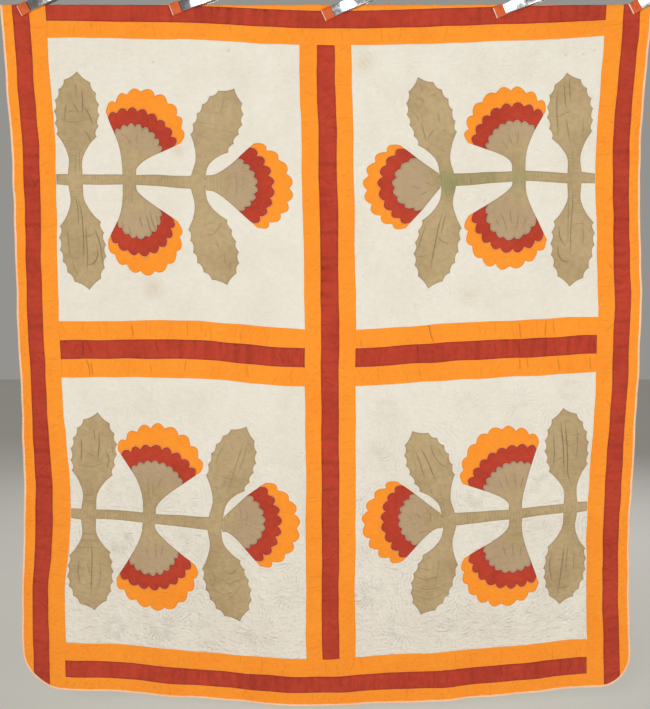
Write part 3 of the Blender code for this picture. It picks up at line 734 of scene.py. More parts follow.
@dataclass(frozen=True)
class Block:
    """One cream block: where it lies, its stem, leaves and flowers."""

    name: str
    side: int
    top: float
    starts: float
    ends: float
    bow: float
    leaves: dict[str, Leaf]
    flowers: dict[str, Flower]
    stem_width: float = 0.031
    reach: float = 0.470
    flower_neck: float = 0.021

    def flat(self, places: Iterable[complex]) -> np.ndarray:
        """Flat places on the quilt from places in the block's frame."""
        places = np.asarray(list(places))
        return np.stack((self.side * (BORDER_SEAMS[0] - places.real), self.top + places.imag), axis=1)

    def own(self, flat: np.ndarray) -> np.ndarray:
        """Places in the block's frame from flat places on the quilt."""
        return (BORDER_SEAMS[0] - self.side * flat[:, 0]) + 1j * (flat[:, 1] - self.top)

    def stem_at(self, across: np.ndarray | float, side: float) -> np.ndarray | complex:
        """A place on the stem: side is -1 on its upper edge, 1 on its lower one."""
        share = across / self.reach
        middle = self.starts + (self.ends - self.starts) * share + self.bow * np.sin(math.pi * share)
        return across + 1j * (middle + side * self.stem_width / 2)

    def calyx(self, place: str, side: int) -> list[complex]:
        """The outline of an upper or a lower calyx, from the stem and back to it."""
        flower = self.flowers[place]
        ends = (flower.neck - self.flower_neck, flower.neck + self.flower_neck)
        neck = [self.stem_at(across, side) for across in (ends if side < 0 else ends[::-1])]
        return flower.calyx_outline(tuple(neck), 1j * side)

    def vine(self) -> list[complex]:
        """The outline of stem, leaves and calyces in one."""
        leaf = {place: leaf.outline() for place, leaf in self.leaves.items()}
        upper = leaf["outer_up"] + self.calyx("up", -1) + leaf["inner_up"]
        lower = leaf["inner_down"] + self.calyx("down", 1) + leaf["outer_down"]
        throat = (self.stem_at(upper[-1].real + 0.004, -1.5), self.stem_at(lower[0].real + 0.004, 1.5))
        end = self.flowers["end"].calyx_outline(throat, 1 + 0j)
        return [self.stem_at(0.0015, 1), self.stem_at(0.0015, -1)] + upper + end + lower

    def appliques(self) -> dict[str, tuple[Colour, list[complex]]]:
        """Each applique piece's cotton and outline, by name."""
        pieces = {f"vine_{self.name}": (Colour.TAN, self.vine())}
        for place, flower in self.flowers.items():
            pieces[f"red_{self.name}_{place}"] = (Colour.RED, flower.band("red"))
            pieces[f"orange_{self.name}_{place}"] = (Colour.ORANGE, flower.band("orange"))
        return pieces


LEAF_PLACES = ("outer_up", "outer_down", "inner_up", "inner_down")
FLOWER_PLACES = ("up", "down", "end")
# name, side, top, stem's start, end and bow; each leaf's base and tip; each flower's sizes
BLOCK_ROWS = (
    ("top_left", -1, TOP_SEAMS[-1], 0.420, 0.430, 0.0,
     ((0.060, 0.083, 0.098), (0.060, 0.093, 0.757), (0.430, 0.552, 0.139), (0.431, 0.517, 0.739)),
     ((0.222, 0.220, 0.386, 23, 42, 0.94, 0.139, 0.188, 0.252),
      (0.222, 0.230, 0.459, 165, 42, 0.87, 0.147, 0.201, 0.261),
      (0.470, 0.467, 0.432, 89, 42, 0.99, 0.147, 0.198, 0.257))),
    ("top_right", 1, TOP_SEAMS[-1], 0.430, 0.414, -0.009,
     ((0.064, 0.103, 0.106), (0.064, 0.087, 0.761), (0.460, 0.551, 0.098), (0.456, 0.529, 0.742)),
     ((0.240, 0.240, 0.363, 20, 49, 0.88, 0.125, 0.181, 0.233),
      (0.238, 0.232, 0.435, 161, 42, 1.00, 0.178, 0.218, 0.272),
      (0.470, 0.458, 0.416, 94, 42, 1.00, 0.175, 0.220, 0.265))),
    ("bottom_left", -1, MIDDLE_SEAMS[-1], 0.436, 0.450, 0.003,
     ((0.054, 0.101, 0.109), (0.054, 0.089, 0.751), (0.460, 0.565, 0.138), (0.456, 0.543, 0.755)),
     ((0.245, 0.254, 0.400, 13, 44, 1.03, 0.141, 0.193, 0.262),
      (0.245, 0.244, 0.474, 166, 42, 1.01, 0.154, 0.204, 0.272),
      (0.470, 0.468, 0.431, 93, 42, 1.02, 0.151, 0.204, 0.265))),
    ("bottom_right", 1, MIDDLE_SEAMS[-1], 0.428, 0.440, 0.004,
     ((0.056, 0.099, 0.108), (0.056, 0.085, 0.743), (0.450, 0.573, 0.148), (0.446, 0.541, 0.736)),
     ((0.235, 0.223, 0.402, 26, 42, 1.02, 0.137, 0.190, 0.262),
      (0.232, 0.220, 0.480, 157, 42, 1.01, 0.150, 0.202, 0.263),
      (0.470, 0.469, 0.424, 94, 42, 1.00, 0.146, 0.202, 0.262))),
)


def blocks() -> list[Block]:
    """The four blocks from their rows."""
    made = []
    for name, side, top, starts, ends, bow, leaf_rows, flower_rows in BLOCK_ROWS:
        bare = Block(name, side, top, starts, ends, bow, {}, {})
        for place, (base, across, down) in zip(LEAF_PLACES, leaf_rows):
            bare.leaves[place] = Leaf(complex(bare.stem_at(base, 0)), complex(across, down))
        for place, (neck, across, down, *sizes) in zip(FLOWER_PLACES, flower_rows):
            bare.flowers[place] = Flower(neck, complex(across, down), *sizes)
        made.append(bare)
    return made


# across, down, radius in a block's own frame; each block shifts them a little
SUNBURSTS = (
    (0.090, 0.050, 0.046), (0.245, 0.074, 0.066), (0.395, 0.078, 0.068), (0.660, 0.075, 0.068),
    (0.150, 0.806, 0.046), (0.298, 0.800, 0.056), (0.443, 0.800, 0.064), (0.600, 0.786, 0.066),
    (0.150, 0.358, 0.050), (0.362, 0.372, 0.046), (0.150, 0.512, 0.050), (0.352, 0.512, 0.046),
    (0.690, 0.224, 0.058), (0.692, 0.652, 0.062),
)


# The quilting
@dataclass(frozen=True)
class Quilting:
    """How the cloth is stitched through, and what that does to its seen face."""

    crinkle: Waves = Waves(21, 0.010, 0.045, 0.00034, 22)
    hollows: Waves = Waves(22, 0.05, 0.16, 0.00050, 12)
    pucker: Waves = Waves(23, 0.9, 4.0, 1.0, 14)
    wobble: Waves = Waves(24, 0.03, 0.09, 0.07, 14)
    backed: Waves = Waves(25, 0.02, 0.05, 0.0003, 16)
    swirl: float = 5.0
    cream_fill: float = 0.0022
    tan_fill: float = 0.0014
    red_fill: float = 0.0015
    orange_fill: float = 0.0010
    # how strongly the stitching shows above, and how much more below and on the right
    upper_strength: float = 0.44
    more_below: float = 0.91
    more_right: float = 0.1
    rope_spacing: float = 0.0125
    slant_spacing: float = 0.0150
    stem_spacing: float = 0.010
    leaf_spacing: float = 0.009
    band_spacing: float = 0.0115
    calyx_turn: float = 6.0

    def strength(self, flat: np.ndarray) -> np.ndarray:
        """How strongly the stitching shows, more towards the bottom."""
        below = ease((flat[:, 1] - 1.0) / 1.0)
        return self.upper_strength + self.more_below * below + self.more_right * np.sign(flat[:, 0])

    def sunbursts(self, block: Block) -> tuple[np.ndarray, np.ndarray]:
        """The centres and radii of a block's sunbursts, each a little off its common place."""
        rows = np.array(SUNBURSTS)
        shift = np.random.default_rng(len(block.name) * 7 + block.side).uniform(-0.007, 0.007, (len(rows), 2))
        return (rows[:, 0] + 1j * rows[:, 1]) + (shift[:, 0] + 1j * shift[:, 1]), rows[:, 2]

    def ground(self, block: Block, flat: np.ndarray, edge: np.ndarray, gap: np.ndarray) -> Face:
        """The seen face of a cream block.

        Args:
            block: The block.
            flat: Flat places.
            edge: How far each lies from the block's seams.
            gap: How far each lies from the applique, 0 under it.

        Returns:
            The face.
        """
        own, (centres, radii) = block.own(flat), self.sunbursts(block)
        nearest = (np.abs(own[:, None] - centres) / radii).argmin(axis=1)
        arm, radius = own - centres[nearest], radii[nearest]
        reach, crinkle, strength = np.abs(arm), self.crinkle(flat), self.strength(flat)
        arm = arm * np.exp(1j * (self.swirl * reach * np.where(nearest % 2, 1, -1) + self.wobble(flat)))
        in_sun = ease((radius - reach) / 0.004) * ease((gap - 0.006) / 0.003)
        heart = ease((reach - 0.006) / 0.020)
        rays = np.where(reach > radius / 2, RAYS, INNER_RAYS)
        ray_puff = puff(np.angle(arm) / (2 * np.pi) * rays) * heart

        echo = (gap + 0.003 + 2.5 * crinkle) / ECHO_SPACING
        out_sun = ease((reach - radius) / 0.006) * (1 - 0.6 * ease((gap - 0.045) / 0.05))
        full = in_sun * (0.15 + 0.7 * ray_puff) + out_sun * puff(echo) * 0.45 + 0.4 * (1 - in_sun) * (1 - out_sun)
        near = ease((gap - 0.0008) / 0.006) * ease(edge / 0.004)
        lift = DITCH_LIFT + (self.cream_fill * full + crinkle + self.hollows(flat)) * near * strength
        # The ray and line weights say how strongly the stitched grooves are bumped and painted with shade.
        shown = np.minimum(strength, 1.0)
        ray = rows_of(arm.real, arm.imag, 0.6 * in_sun * heart * shown)
        line = rows_of(echo, 0.5 * out_sun * ease((gap - 0.002) / 0.003) * shown, ECHO_SPACING)
        return Face(rim_tuck(lift, edge, SEAM_LIFT), ray=ray, line=line)

    def strip(self, colour: Colour, flat: np.ndarray, edge: np.ndarray, upright: bool, middle: float) -> Face:
        """The seen face of a narrow strip, quilted in ropes if it is red and in slanted lines if not.

        Args:
            colour: The strip's cotton.
            flat: Rows of (across, down).
            edge: How far each lies from the strip's seams.
            upright: Whether the strip runs down the quilt.
            middle: Where its middle line lies.

        Returns:
            The face.
        """
        along, side = (flat[:, 1], flat[:, 0]) if upright else (flat[:, 0], flat[:, 1])
        side, dark = side - middle, 0.0
        if colour is Colour.RED:
            spacing, fill, weight = self.rope_spacing, self.red_fill, 0.45
            phase = along / spacing + 0.9 * np.sin(side / 0.027 * math.pi / 2) + 0.25 * np.sin(along / 0.05)
            pucker = np.clip(self.pucker(rows_of(along / 0.013, side / 0.10)), -2, 2)
            # Painted shade: darker in the red strip's puckers and along its seams.
            dark = 0.12 * np.clip(pucker, 0, 2) + 0.45 * np.exp(-((edge / 0.0025) ** 2))
        else:
            spacing, fill, weight = self.slant_spacing, self.orange_fill, 0.5
            phase = (along + side * 0.75 + 0.002 * np.sin(along / 0.04)) / (spacing * 1.25)
            pucker = np.clip(self.pucker(rows_of(along / 0.02, side / 0.14)), -2, 2)
        crown = ease(edge / 0.018)
        lift = DITCH_LIFT + fill * (0.4 * crown + puff(phase) * ease(edge / 0.005) * self.strength(flat))
        lift = lift + self.crinkle(flat) + self.hollows(flat) * 0.6 * crown - 0.0005 * pucker * ease(edge / 0.004)
        line = rows_of(phase, weight * ease((edge - 0.001) / 0.002), spacing)
        return Face(rim_tuck(lift, edge, SEAM_LIFT), line=line, tone=rows_of(0 * edge, dark, 0.0))

    def sewn_on(self, flat: np.ndarray, edge: np.ndarray, lift: np.ndarray, line: np.ndarray, dark: np.ndarray,
                blush: np.ndarray | float = 0.0) -> Face:
        """The seen face of an applique piece from its own relief, lines and tones: dark is painted shade along its
        turned edge, blush its own colour.
        """
        lift = lift + self.crinkle(flat) * 1.3 * ease(edge / 0.004)
        return Face(rim_tuck(lift, edge, APPLIQUE_RIM), line=line, tone=rows_of(0 * edge, dark, blush))

    def leafy(self, block: Block, flat: np.ndarray, edge: np.ndarray) -> Face:
        """The seen face of a vine: cross lines on its stem and necks, soft rays on its calyces.

        Args:
            block: The vine's block.
            flat: Rows of (across, down).
            edge: How far each lies from the vine's edge.

        Returns:
            The face.
        """
        own = block.own(flat)
        phase, spacing, weight, blush = own.real / self.stem_spacing, self.stem_spacing, 0.6, 0.0
        for flower in block.flowers.values():
            arm = own - flower.apex
            reach = np.abs(arm)
            turn = (np.degrees(np.angle(arm * 1j)) - flower.heading + 180) % 360 - 180
            margin = np.minimum(np.radians(flower.opening + 6 - np.abs(turn)) * reach, reach - 0.045)
            within = (margin > 0) & (reach < flower.calyx + 0.012)
            rays = turn / self.calyx_turn + np.sin(reach * 90) * 0.3 + 400 * self.crinkle(flat)
            phase = np.where(within, rays, phase)
            weight = np.where(within, 0.3, weight) * ease(np.abs(margin) / 0.008)
            spacing = np.where(within, np.maximum(reach, 0.02) * math.radians(self.calyx_turn), spacing)
            blush = np.maximum(blush, np.where(within, ease((reach - 0.05) / 0.03), 0.0))
        for leaf in block.leaves.values():
            share, offset, width = leaf.inside(own)
            margin = np.minimum((share - 0.05) * leaf.length, width + 0.006 - np.abs(offset))
            within = margin > 0
            wavy = (share * leaf.length + 0.0012 * np.sin(offset * 160)) / self.leaf_spacing
            phase, spacing = np.where(within, wavy, phase), np.where(within, self.leaf_spacing, spacing)
            weight = np.where(within, 0.15 + 0.4 * ease((0.45 - share) / 0.2), weight) * ease(np.abs(margin) / 0.006)
            blush = np.where(within, 0.0, blush)
        lift = APPLIQUE_LOW + self.tan_fill * (0.4 + weight * puff(phase)) * ease(edge / 0.006) * self.strength(flat)
        line = rows_of(phase, weight * ease((edge - 0.001) / 0.003), spacing)
        # Painted shade along the vine's turned edge.
        return self.sewn_on(flat, edge, lift, line, 0.24 * np.exp(-((edge / 0.0022) ** 2)), blush)

    def band(self, flat: np.ndarray, edge: np.ndarray, colour: Colour) -> Face:
        """The seen face of a red or orange band: lines that follow its edges."""
        # dark: painted shade along the band's turned edge.
        fill, dark = (self.red_fill, 0.24) if colour is Colour.RED else (self.orange_fill, 0.14)
        phase = edge / self.band_spacing
        lift = APPLIQUE_LOW + fill * (0.25 + 0.75 * puff(phase)) * ease(edge / 0.004)
        line = rows_of(phase, 0.6 * ease((edge - 0.003) / 0.003), self.band_spacing)
        return self.sewn_on(flat, edge, lift, line, dark * np.exp(-((edge / 0.0026) ** 2)))

    def back(self, motif: list[Block], flat: np.ndarray, edge: np.ndarray) -> Face:
        """The back of the quilt, where the same stitching shows through plain muslin."""
        relief = self.crinkle(flat) * 0.8 + self.hollows(flat) + self.backed(flat)
        ray, line = np.zeros((len(flat), 3)), rows_of((flat[:, 0] + flat[:, 1]) / 0.017, 1.0, 0.012)
        for block in motif:
            own = block.own(flat)
            for centre, radius in zip(*self.sunbursts(block)):
                arm = own - centre
                reach = np.abs(arm)
                within = reach < radius + 0.01
                weight = ease((radius - reach) / 0.008) * ease((reach - 0.006) / 0.006)
                arm = arm * np.exp(1j * self.swirl * reach)
                ray[within] = rows_of(arm.real, arm.imag, weight)[within]
                line[within, 1] = 0.0
        return Face(BACK_FACE - relief * ease(edge / 0.01), ray=ray, line=line)


def rim_tuck(lift: np.ndarray, edge: np.ndarray, rim: float) -> np.ndarray:
    """Round a cloth's edge down to its rim."""
    share = np.sqrt(1 - (1 - np.clip(edge / (1.6 * TUCK), 0, 1)) ** 2)
    return rim + (lift - rim) * share


# The finishes
def srgb(red: int, green: int, blue: int) -> tuple[float, float, float, float]:
    """A linear colour from one of 0 to 255."""
    shares = (channel / 255 for channel in (red, green, blue))
    return (*(s / 12.92 if s <= 0.04045 else ((s + 0.055) / 1.055) ** 2.4 for s in shares), 1.0)


Socket = bpy.types.NodeSocket


class Nodes:
    """Nodes of a material or a shape, put together from sockets and plain values."""

    def __init__(self, tree: bpy.types.NodeTree) -> None:
        """Start on a tree."""
        self.tree = tree

    def add(self, kind: str, inputs: dict | None = None, output: int = 0, **settings: object) -> Socket:
        """Add a node and give its inputs sockets or values.

        Args:
            kind: Node type.
            inputs: Socket or value for each input, by name or index.
            output: Which output to return.
            settings: The node's own settings.

        Returns:
            The output, or the first input of a node without outputs.
        """
        node = self.tree.nodes.new(kind)
        for setting, value in settings.items():
            setattr(node, setting, value)
        for key, value in (inputs or {}).items():
            self.give(node.inputs[key], value)
        return node.outputs[output] if node.outputs else node.inputs[0]

    def give(self, socket: Socket, value: object) -> None:
        """Link a socket to another, or set its value."""
        if isinstance(value, Socket):
            self.tree.links.new(value, socket)
        else:
            socket.default_value = value


class Graph(Nodes):
    """A material's nodes."""

    def __init__(self, name: str, **constants: float) -> None:
        """Start a material; constants go straight on the shader's sockets."""
        self.material = bpy.data.materials.new(name)
        self.material.use_nodes = True
        super().__init__(self.material.node_tree)
        self.place = self.add("ShaderNodeTexCoord", output=3)
        self.finish(**constants)

    def math(self, operation: str, *values: Socket | float) -> Socket:
        """A Math node."""
        return self.add("ShaderNodeMath", dict(enumerate(values)), operation=operation)

    def times(self, first: Socket | float, second: Socket | float) -> Socket:
        """One value times another."""
        return self.math("MULTIPLY", first, second)

    def less(self, value: Socket) -> Socket:
        """What a value leaves of 1."""
        return self.math("SUBTRACT", 1.0, value)

    def mix(self, share: Socket | float, first: object, second: object, blend: str = "MIX") -> Socket:
        """A colour between two."""
        return self.add("ShaderNodeMix", {0: share, 6: first, 7: second}, 2, data_type="RGBA", blend_type=blend)

    def ramp(self, value: Socket, start: float, end: float, low: float = 0.0, high: float = 1.0) -> Socket:
        """A smooth step of a value."""
        ends = {0: value, 1: start, 2: end, 3: low, 4: high}
        return self.add("ShaderNodeMapRange", ends, interpolation_type="SMOOTHSTEP")

    def noise(self, scale: float, detail: float, place: Socket | None = None) -> Socket:
        """Noise of 0 to 1."""
        place = self.place if place is None else place
        return self.add("ShaderNodeTexNoise", {"Vector": place, "Scale": scale, "Detail": detail})

    def scaled(self, place: Socket, across: float, down: float) -> Socket:
        """Flat places drawn together, for noise of scale 1."""
        return self.add("ShaderNodeMapping", {"Vector": place, "Scale": (across, down, 1.0)})

    def parts(self, vector: Socket) -> tuple[Socket, ...]:
        """A vector's three parts."""
        return tuple(self.add("ShaderNodeSeparateXYZ", {0: vector}).node.outputs)

    def attribute(self, name: str) -> tuple[Socket, ...]:
        """A vector attribute's three parts."""
        return self.parts(self.add("ShaderNodeAttribute", output=1, attribute_name=name))

    def bump(self, height: Socket, distance: float, under: Socket | None = None) -> Socket:
        """A normal from a height in metres."""
        inputs = {"Height": height, "Distance": distance, "Strength": 1.0}
        return self.add("ShaderNodeBump", inputs if under is None else {**inputs, "Normal": under})

    def finish(self, **values: object) -> bpy.types.Material:
        """Give the shader's sockets their links or values."""
        for name, value in values.items():
            self.give(self.tree.nodes["Principled BSDF"].inputs[name.replace("_", " ")], value)
        return self.material


class Shape(Nodes):
    """A Geometry Nodes tree with named sizes, whose result is kept as a plain mesh."""

    def __init__(self, name: str, sizes: dict[str, float]) -> None:
        """Start a tree that has the sizes as its inputs."""
        super().__init__(bpy.data.node_groups.new(name, "GeometryNodeTree"))
        self.sizes = sizes
        panel = self.tree.interface
        panel.new_socket("Geometry", in_out="INPUT", socket_type="NodeSocketGeometry")
        for size in sizes:
            panel.new_socket(size, in_out="INPUT", socket_type="NodeSocketFloat")
        panel.new_socket("Geometry", in_out="OUTPUT", socket_type="NodeSocketGeometry")
        self.given = self.add("NodeGroupInput").node.outputs

    def run(self, name: str, source: bpy.types.Object, shape: Socket, material: bpy.types.Material
            ) -> bpy.types.Object:
        """End the tree, run it on an object and keep the result.

        Args:
            name: Name of the finished piece.
            source: The object that the tree starts from, removed afterwards.
            shape: What the tree has made so far.
            material: The piece's material.

        Returns:
            The finished piece.
        """
        real = self.add("GeometryNodeRealizeInstances", {0: shape})
        dyed = self.add("GeometryNodeSetMaterial", {"Geometry": real, "Material": material})
        self.add("NodeGroupOutput", {0: dyed})
        modifier = source.modifiers.new(name, "NODES")
        modifier.node_group = self.tree
        for item in self.tree.interface.items_tree:
            if item.in_out == "INPUT" and item.name in self.sizes:
                modifier[item.identifier] = self.sizes[item.name]
        graph = bpy.context.evaluated_depsgraph_get()
        mesh = bpy.data.meshes.new_from_object(source.evaluated_get(graph))
        bpy.data.objects.remove(source)
        mesh.materials.clear()
        return new_object(name, mesh, material)


@dataclass(frozen=True)
class Cotton:
    """A quilted cotton: two tones of its dye, a stain, and how deep its stitched lines look, in bump and in painted
    shade.
    """

    name: str
    light: tuple
    deep: tuple
    groove_shade: float
    groove_bump: float = 0.0004
    ripple: float = 0.0018
    # crackle: how much painted shade, and with it bump, the fine crackle lines get
    crackle: float = 0.06
    stain: tuple = (206, 184, 128)
    blush: tuple = (178, 158, 130)
    rayed: bool = False

    def grooves(self, graph: Graph) -> Socket:
        """How near a stitched line the cloth is, 1 on it and 0 between lines."""
        phase, weight, spacing = graph.attribute("line")
        away = graph.times(graph.math("PINGPONG", phase, 0.5), spacing)
        height = graph.times(graph.less(graph.ramp(away, 0.0, 0.0024)), weight)
        if self.rayed:
            across, down, sun = graph.attribute("ray")
            share = graph.math("DIVIDE", graph.math("ARCTAN2", down, across), 2 * math.pi)
            away = graph.math("PINGPONG", graph.times(share, float(RAYS)), 0.5)
            height = graph.math("MAXIMUM", height, graph.times(graph.less(graph.ramp(away, 0.0, 0.22)), sun))
        return height

    def material(self) -> bpy.types.Material:
        """The finish's material."""
        graph = Graph(self.name, Roughness=0.88, Sheen_Weight=0.18, Sheen_Roughness=0.5, Specular_IOR_Level=0.25)
        flat = graph.add("ShaderNodeUVMap", uv_map="flat")
        patchy = graph.ramp(graph.noise(13.0, 1.0), 0.42, 0.64)
        groove = graph.times(self.grooves(graph), graph.math("MULTIPLY_ADD", patchy, 0.6, 0.4))
        stain, shade_and_specks, blush = graph.attribute("tone")
        deep = srgb(*self.deep)
        # Painted shade colour: a dark tone of the dye.
        dark = tuple(0.35 * channel for channel in deep[:3]) + (1.0,)

        broad = graph.times(graph.ramp(graph.noise(7.0, 4.0), 0.35, 0.7), 0.55)
        worn = graph.times(graph.ramp(graph.noise(70.0, 3.0), 0.3, 0.75), 0.45)
        slub = graph.ramp(graph.noise(1.0, 1.0, graph.scaled(flat, 90.0, 1400.0)), 0.45, 0.8)
        wrinkle = graph.math("ABSOLUTE", graph.math("SUBTRACT", graph.noise(24.0, 2.0), 0.5))
        wrinkle = graph.times(graph.times(graph.less(graph.ramp(wrinkle, 0.0, 0.015)), patchy), self.crackle)
        colour = graph.mix(graph.math("ADD", broad, worn), srgb(*self.light), deep)
        for share, other in ((graph.times(slub, 0.10), deep), (graph.times(blush, 0.6), srgb(*self.blush))):
            colour = graph.mix(share, colour, other)
        colour = graph.mix(stain, colour, srgb(*self.stain), "MULTIPLY")
        # Painted shade in the stitched grooves, in the tone's shade channel (creases, puckers and turned edges, with
        # real dark specks) and in the crackle lines.
        for share in (graph.times(groove, self.groove_shade), shade_and_specks, wrinkle):
            colour = graph.mix(share, colour, dark)

        cloth = graph.math("ADD", graph.noise(1.0, 0.0, graph.scaled(flat, 1700.0, 1700.0)), graph.noise(330.0, 3.0))
        fuller = graph.ramp(graph.parts(flat)[1], 0.9, 2.1, 0.25, 1.0)
        gathers = graph.times(graph.noise(1.0, 2.5, graph.scaled(flat, 46.0, 92.0)), fuller)
        normal = graph.bump(graph.less(groove), self.groove_bump)
        normal = graph.bump(gathers, self.ripple, normal)
        normal = graph.bump(graph.less(wrinkle), 0.0012, normal)
        return graph.finish(Base_Color=colour, Normal=graph.bump(cloth, 0.00016, normal))


# name, light and deep dye tones, painted shade of the stitched lines, groove bump, ripple bump; the tan then gives
# the painted shade of its crackle lines
COTTONS = {
    Colour.CREAM: Cotton("cream_cotton", (235, 230, 217), (228, 221, 206), 0.05, 0.0021, 0.0104, rayed=True),
    Colour.ORANGE: Cotton("orange_cotton", (254, 154, 43), (251, 145, 37), 0.09, 0.0008, 0.0052),
    Colour.RED: Cotton("red_cotton", (194, 67, 43), (172, 53, 34), 0.20, 0.0010, 0.0054),
    Colour.TAN: Cotton("tan_cotton", (192, 168, 127), (169, 145, 105), 0.26, 0.0010, 0.0092, 0.18,
                       stain=(213, 239, 221), blush=(184, 157, 127)),
    Colour.PEACH: Cotton("peach_cotton", (250, 212, 178), (240, 192, 152), 0.06),
}
MUSLIN = Cotton("muslin", (236, 230, 212), (226, 218, 198), 0.08, rayed=True)
# Hem threads, by the cotton that they hold
THREADS = {Colour.TAN: (150, 128, 88), Colour.RED: (130, 40, 28), Colour.ORANGE: (206, 118, 34)}


@dataclass(frozen=True)
class Steel:
    """Bright plated steel, a little smudged and rubbed."""

    name: str = "plated_steel"

    def material(self) -> bpy.types.Material:
        """The finish's material."""
        graph = Graph(self.name, Metallic=1.0)
        smudge = graph.ramp(graph.noise(22.0, 3.0), 0.3, 0.8)
        return graph.finish(
            Base_Color=graph.mix(smudge, srgb(196, 198, 199), srgb(146, 149, 153)),
            Roughness=graph.ramp(graph.noise(120.0, 3.0), 0.3, 0.8, 0.18, 0.34),
            Normal=graph.bump(graph.noise(500.0, 2.0), 0.00006),
        )


@dataclass(frozen=True)
class Vinyl:
    """Dipped soft vinyl, dusty, with a pale end line where its tone says so."""

    name: str = "orange_vinyl"

    def material(self) -> bpy.types.Material:
        """The finish's material."""
        graph = Graph(self.name, Roughness=0.55, Coat_Weight=0.05, Coat_Roughness=0.4, Specular_IOR_Level=0.25)
        dust = graph.ramp(graph.noise(90.0, 4.0), 0.45, 0.8)
        colour = graph.mix(dust, srgb(212, 92, 34), srgb(178, 72, 26))
        colour = graph.mix(graph.attribute("tone")[0], colour, srgb(236, 230, 216))
        return graph.finish(Base_Color=colour, Normal=graph.bump(graph.noise(400.0, 3.0), 0.00015))


# The cloth pieces
@dataclass(frozen=True)
class Patch:
    """A patch of the top: a rectangle in the flat, cut by a rounded corner where it reaches one."""

    name: str
    colour: Colour
    left: float
    right: float
    top: float
    bottom: float
    joint: float = 0.00010

    def corners(self) -> np.ndarray:
        """The patch's outline."""
        return rounded_sheet(self.left + self.joint, self.right - self.joint,
                             self.top + self.joint, self.bottom - self.joint)

    def upright(self) -> bool:
        """Whether the strip runs down the quilt."""
        return self.bottom - self.top > self.right - self.left


def rounded_sheet(left: float, right: float, top: float, bottom: float) -> np.ndarray:
    """A rectangle's outline, cut along the quilt's rounded bottom corners where it reaches past them.

    Args:
        left: Its left side.
        right: Its right side.
        top: Its top.
        bottom: Its bottom.

    Returns:
        Rows of (across, down).
    """
    outline = [(left, top), (right, top)]
    for side, edge, other in ((1, right, left), (-1, left, right)):
        radius = CORNER_RADIUS[side]
        centre = np.array((side * (HALF_WIDTH - radius), BOTTOM - radius))
        outer, inner = side * edge - side * centre[0], max(side * other - side * centre[0], 0.0)
        deep = bottom - centre[1]
        if outer > 0 and math.hypot(outer, deep) > radius:
            first = math.acos(min(outer / radius, 1.0))
            last = min(math.acos(min(inner / radius, 1.0)), math.asin(min(deep / radius, 1.0)))
            turns = np.linspace(first, last, max(3, math.ceil((last - first) * radius / 0.004)))
            arc = [(centre[0] + side * radius * math.cos(t), centre[1] + radius * math.sin(t)) for t in turns]
            if math.acos(min(inner / radius, 1.0)) > last:
                arc.append((other if inner > 0 else centre[0], bottom))
        else:
            arc = [(edge, bottom)]
        outline += arc if side == 1 else arc[::-1]
    kept = [outline[0]]
    for place in outline[1:]:
        if math.dist(place, kept[-1]) > 0.0006 and math.dist(place, kept[0]) > 0.0006:
            kept.append(place)
    return np.array(kept)


def patches() -> list[Patch]:
    """Every strip of the top."""
    red, orange = Colour.RED, Colour.ORANGE
    inner, middle, outer = BORDER_SEAMS
    rows = []
    for side, word in ((-1, "left"), (1, "right")):
        for name, colour, start, end in (
            ("inner", orange, inner, middle), ("middle", red, middle, outer), ("outer", orange, outer, HALF_WIDTH),
        ):
            rows.append((f"{word}_{name}", colour, side * start, side * end, TOP, BOTTOM))
        for name, colour, *ends in zip(("upper", "middle", "lower"), (orange, red, orange),
                                       MIDDLE_SEAMS, MIDDLE_SEAMS[1:]):
            rows.append((f"{word}_cross_{name}", colour, side * SASH_SEAMS[1], side * inner, *ends))
        sides = [side * seam for seam in SASH_SEAMS]
        rows.append((f"centre_{word}", orange, *sides, TOP_SEAMS[1], BOTTOM_SEAMS[0]))
    rows.append(("centre", red, -SASH_SEAMS[0], SASH_SEAMS[0], TOP_SEAMS[1], BOTTOM_SEAMS[0]))
    for name, colour, *ends in (
        ("top_turned", orange, TOP, 0.0), ("top_red", red, 0.0, TOP_SEAMS[0]), ("top_inner", orange, *TOP_SEAMS),
        ("bottom_inner", orange, *BOTTOM_SEAMS[:2]), ("bottom_red", red, *BOTTOM_SEAMS[1:]),
        ("bottom_outer", orange, BOTTOM_SEAMS[2], BOTTOM),
    ):
        rows.append((name, colour, -inner, inner, *ends))
    return [Patch(f"{name}_strip", colour, min(first, last), max(first, last), top, bottom)
            for name, colour, first, last, top, bottom in rows]


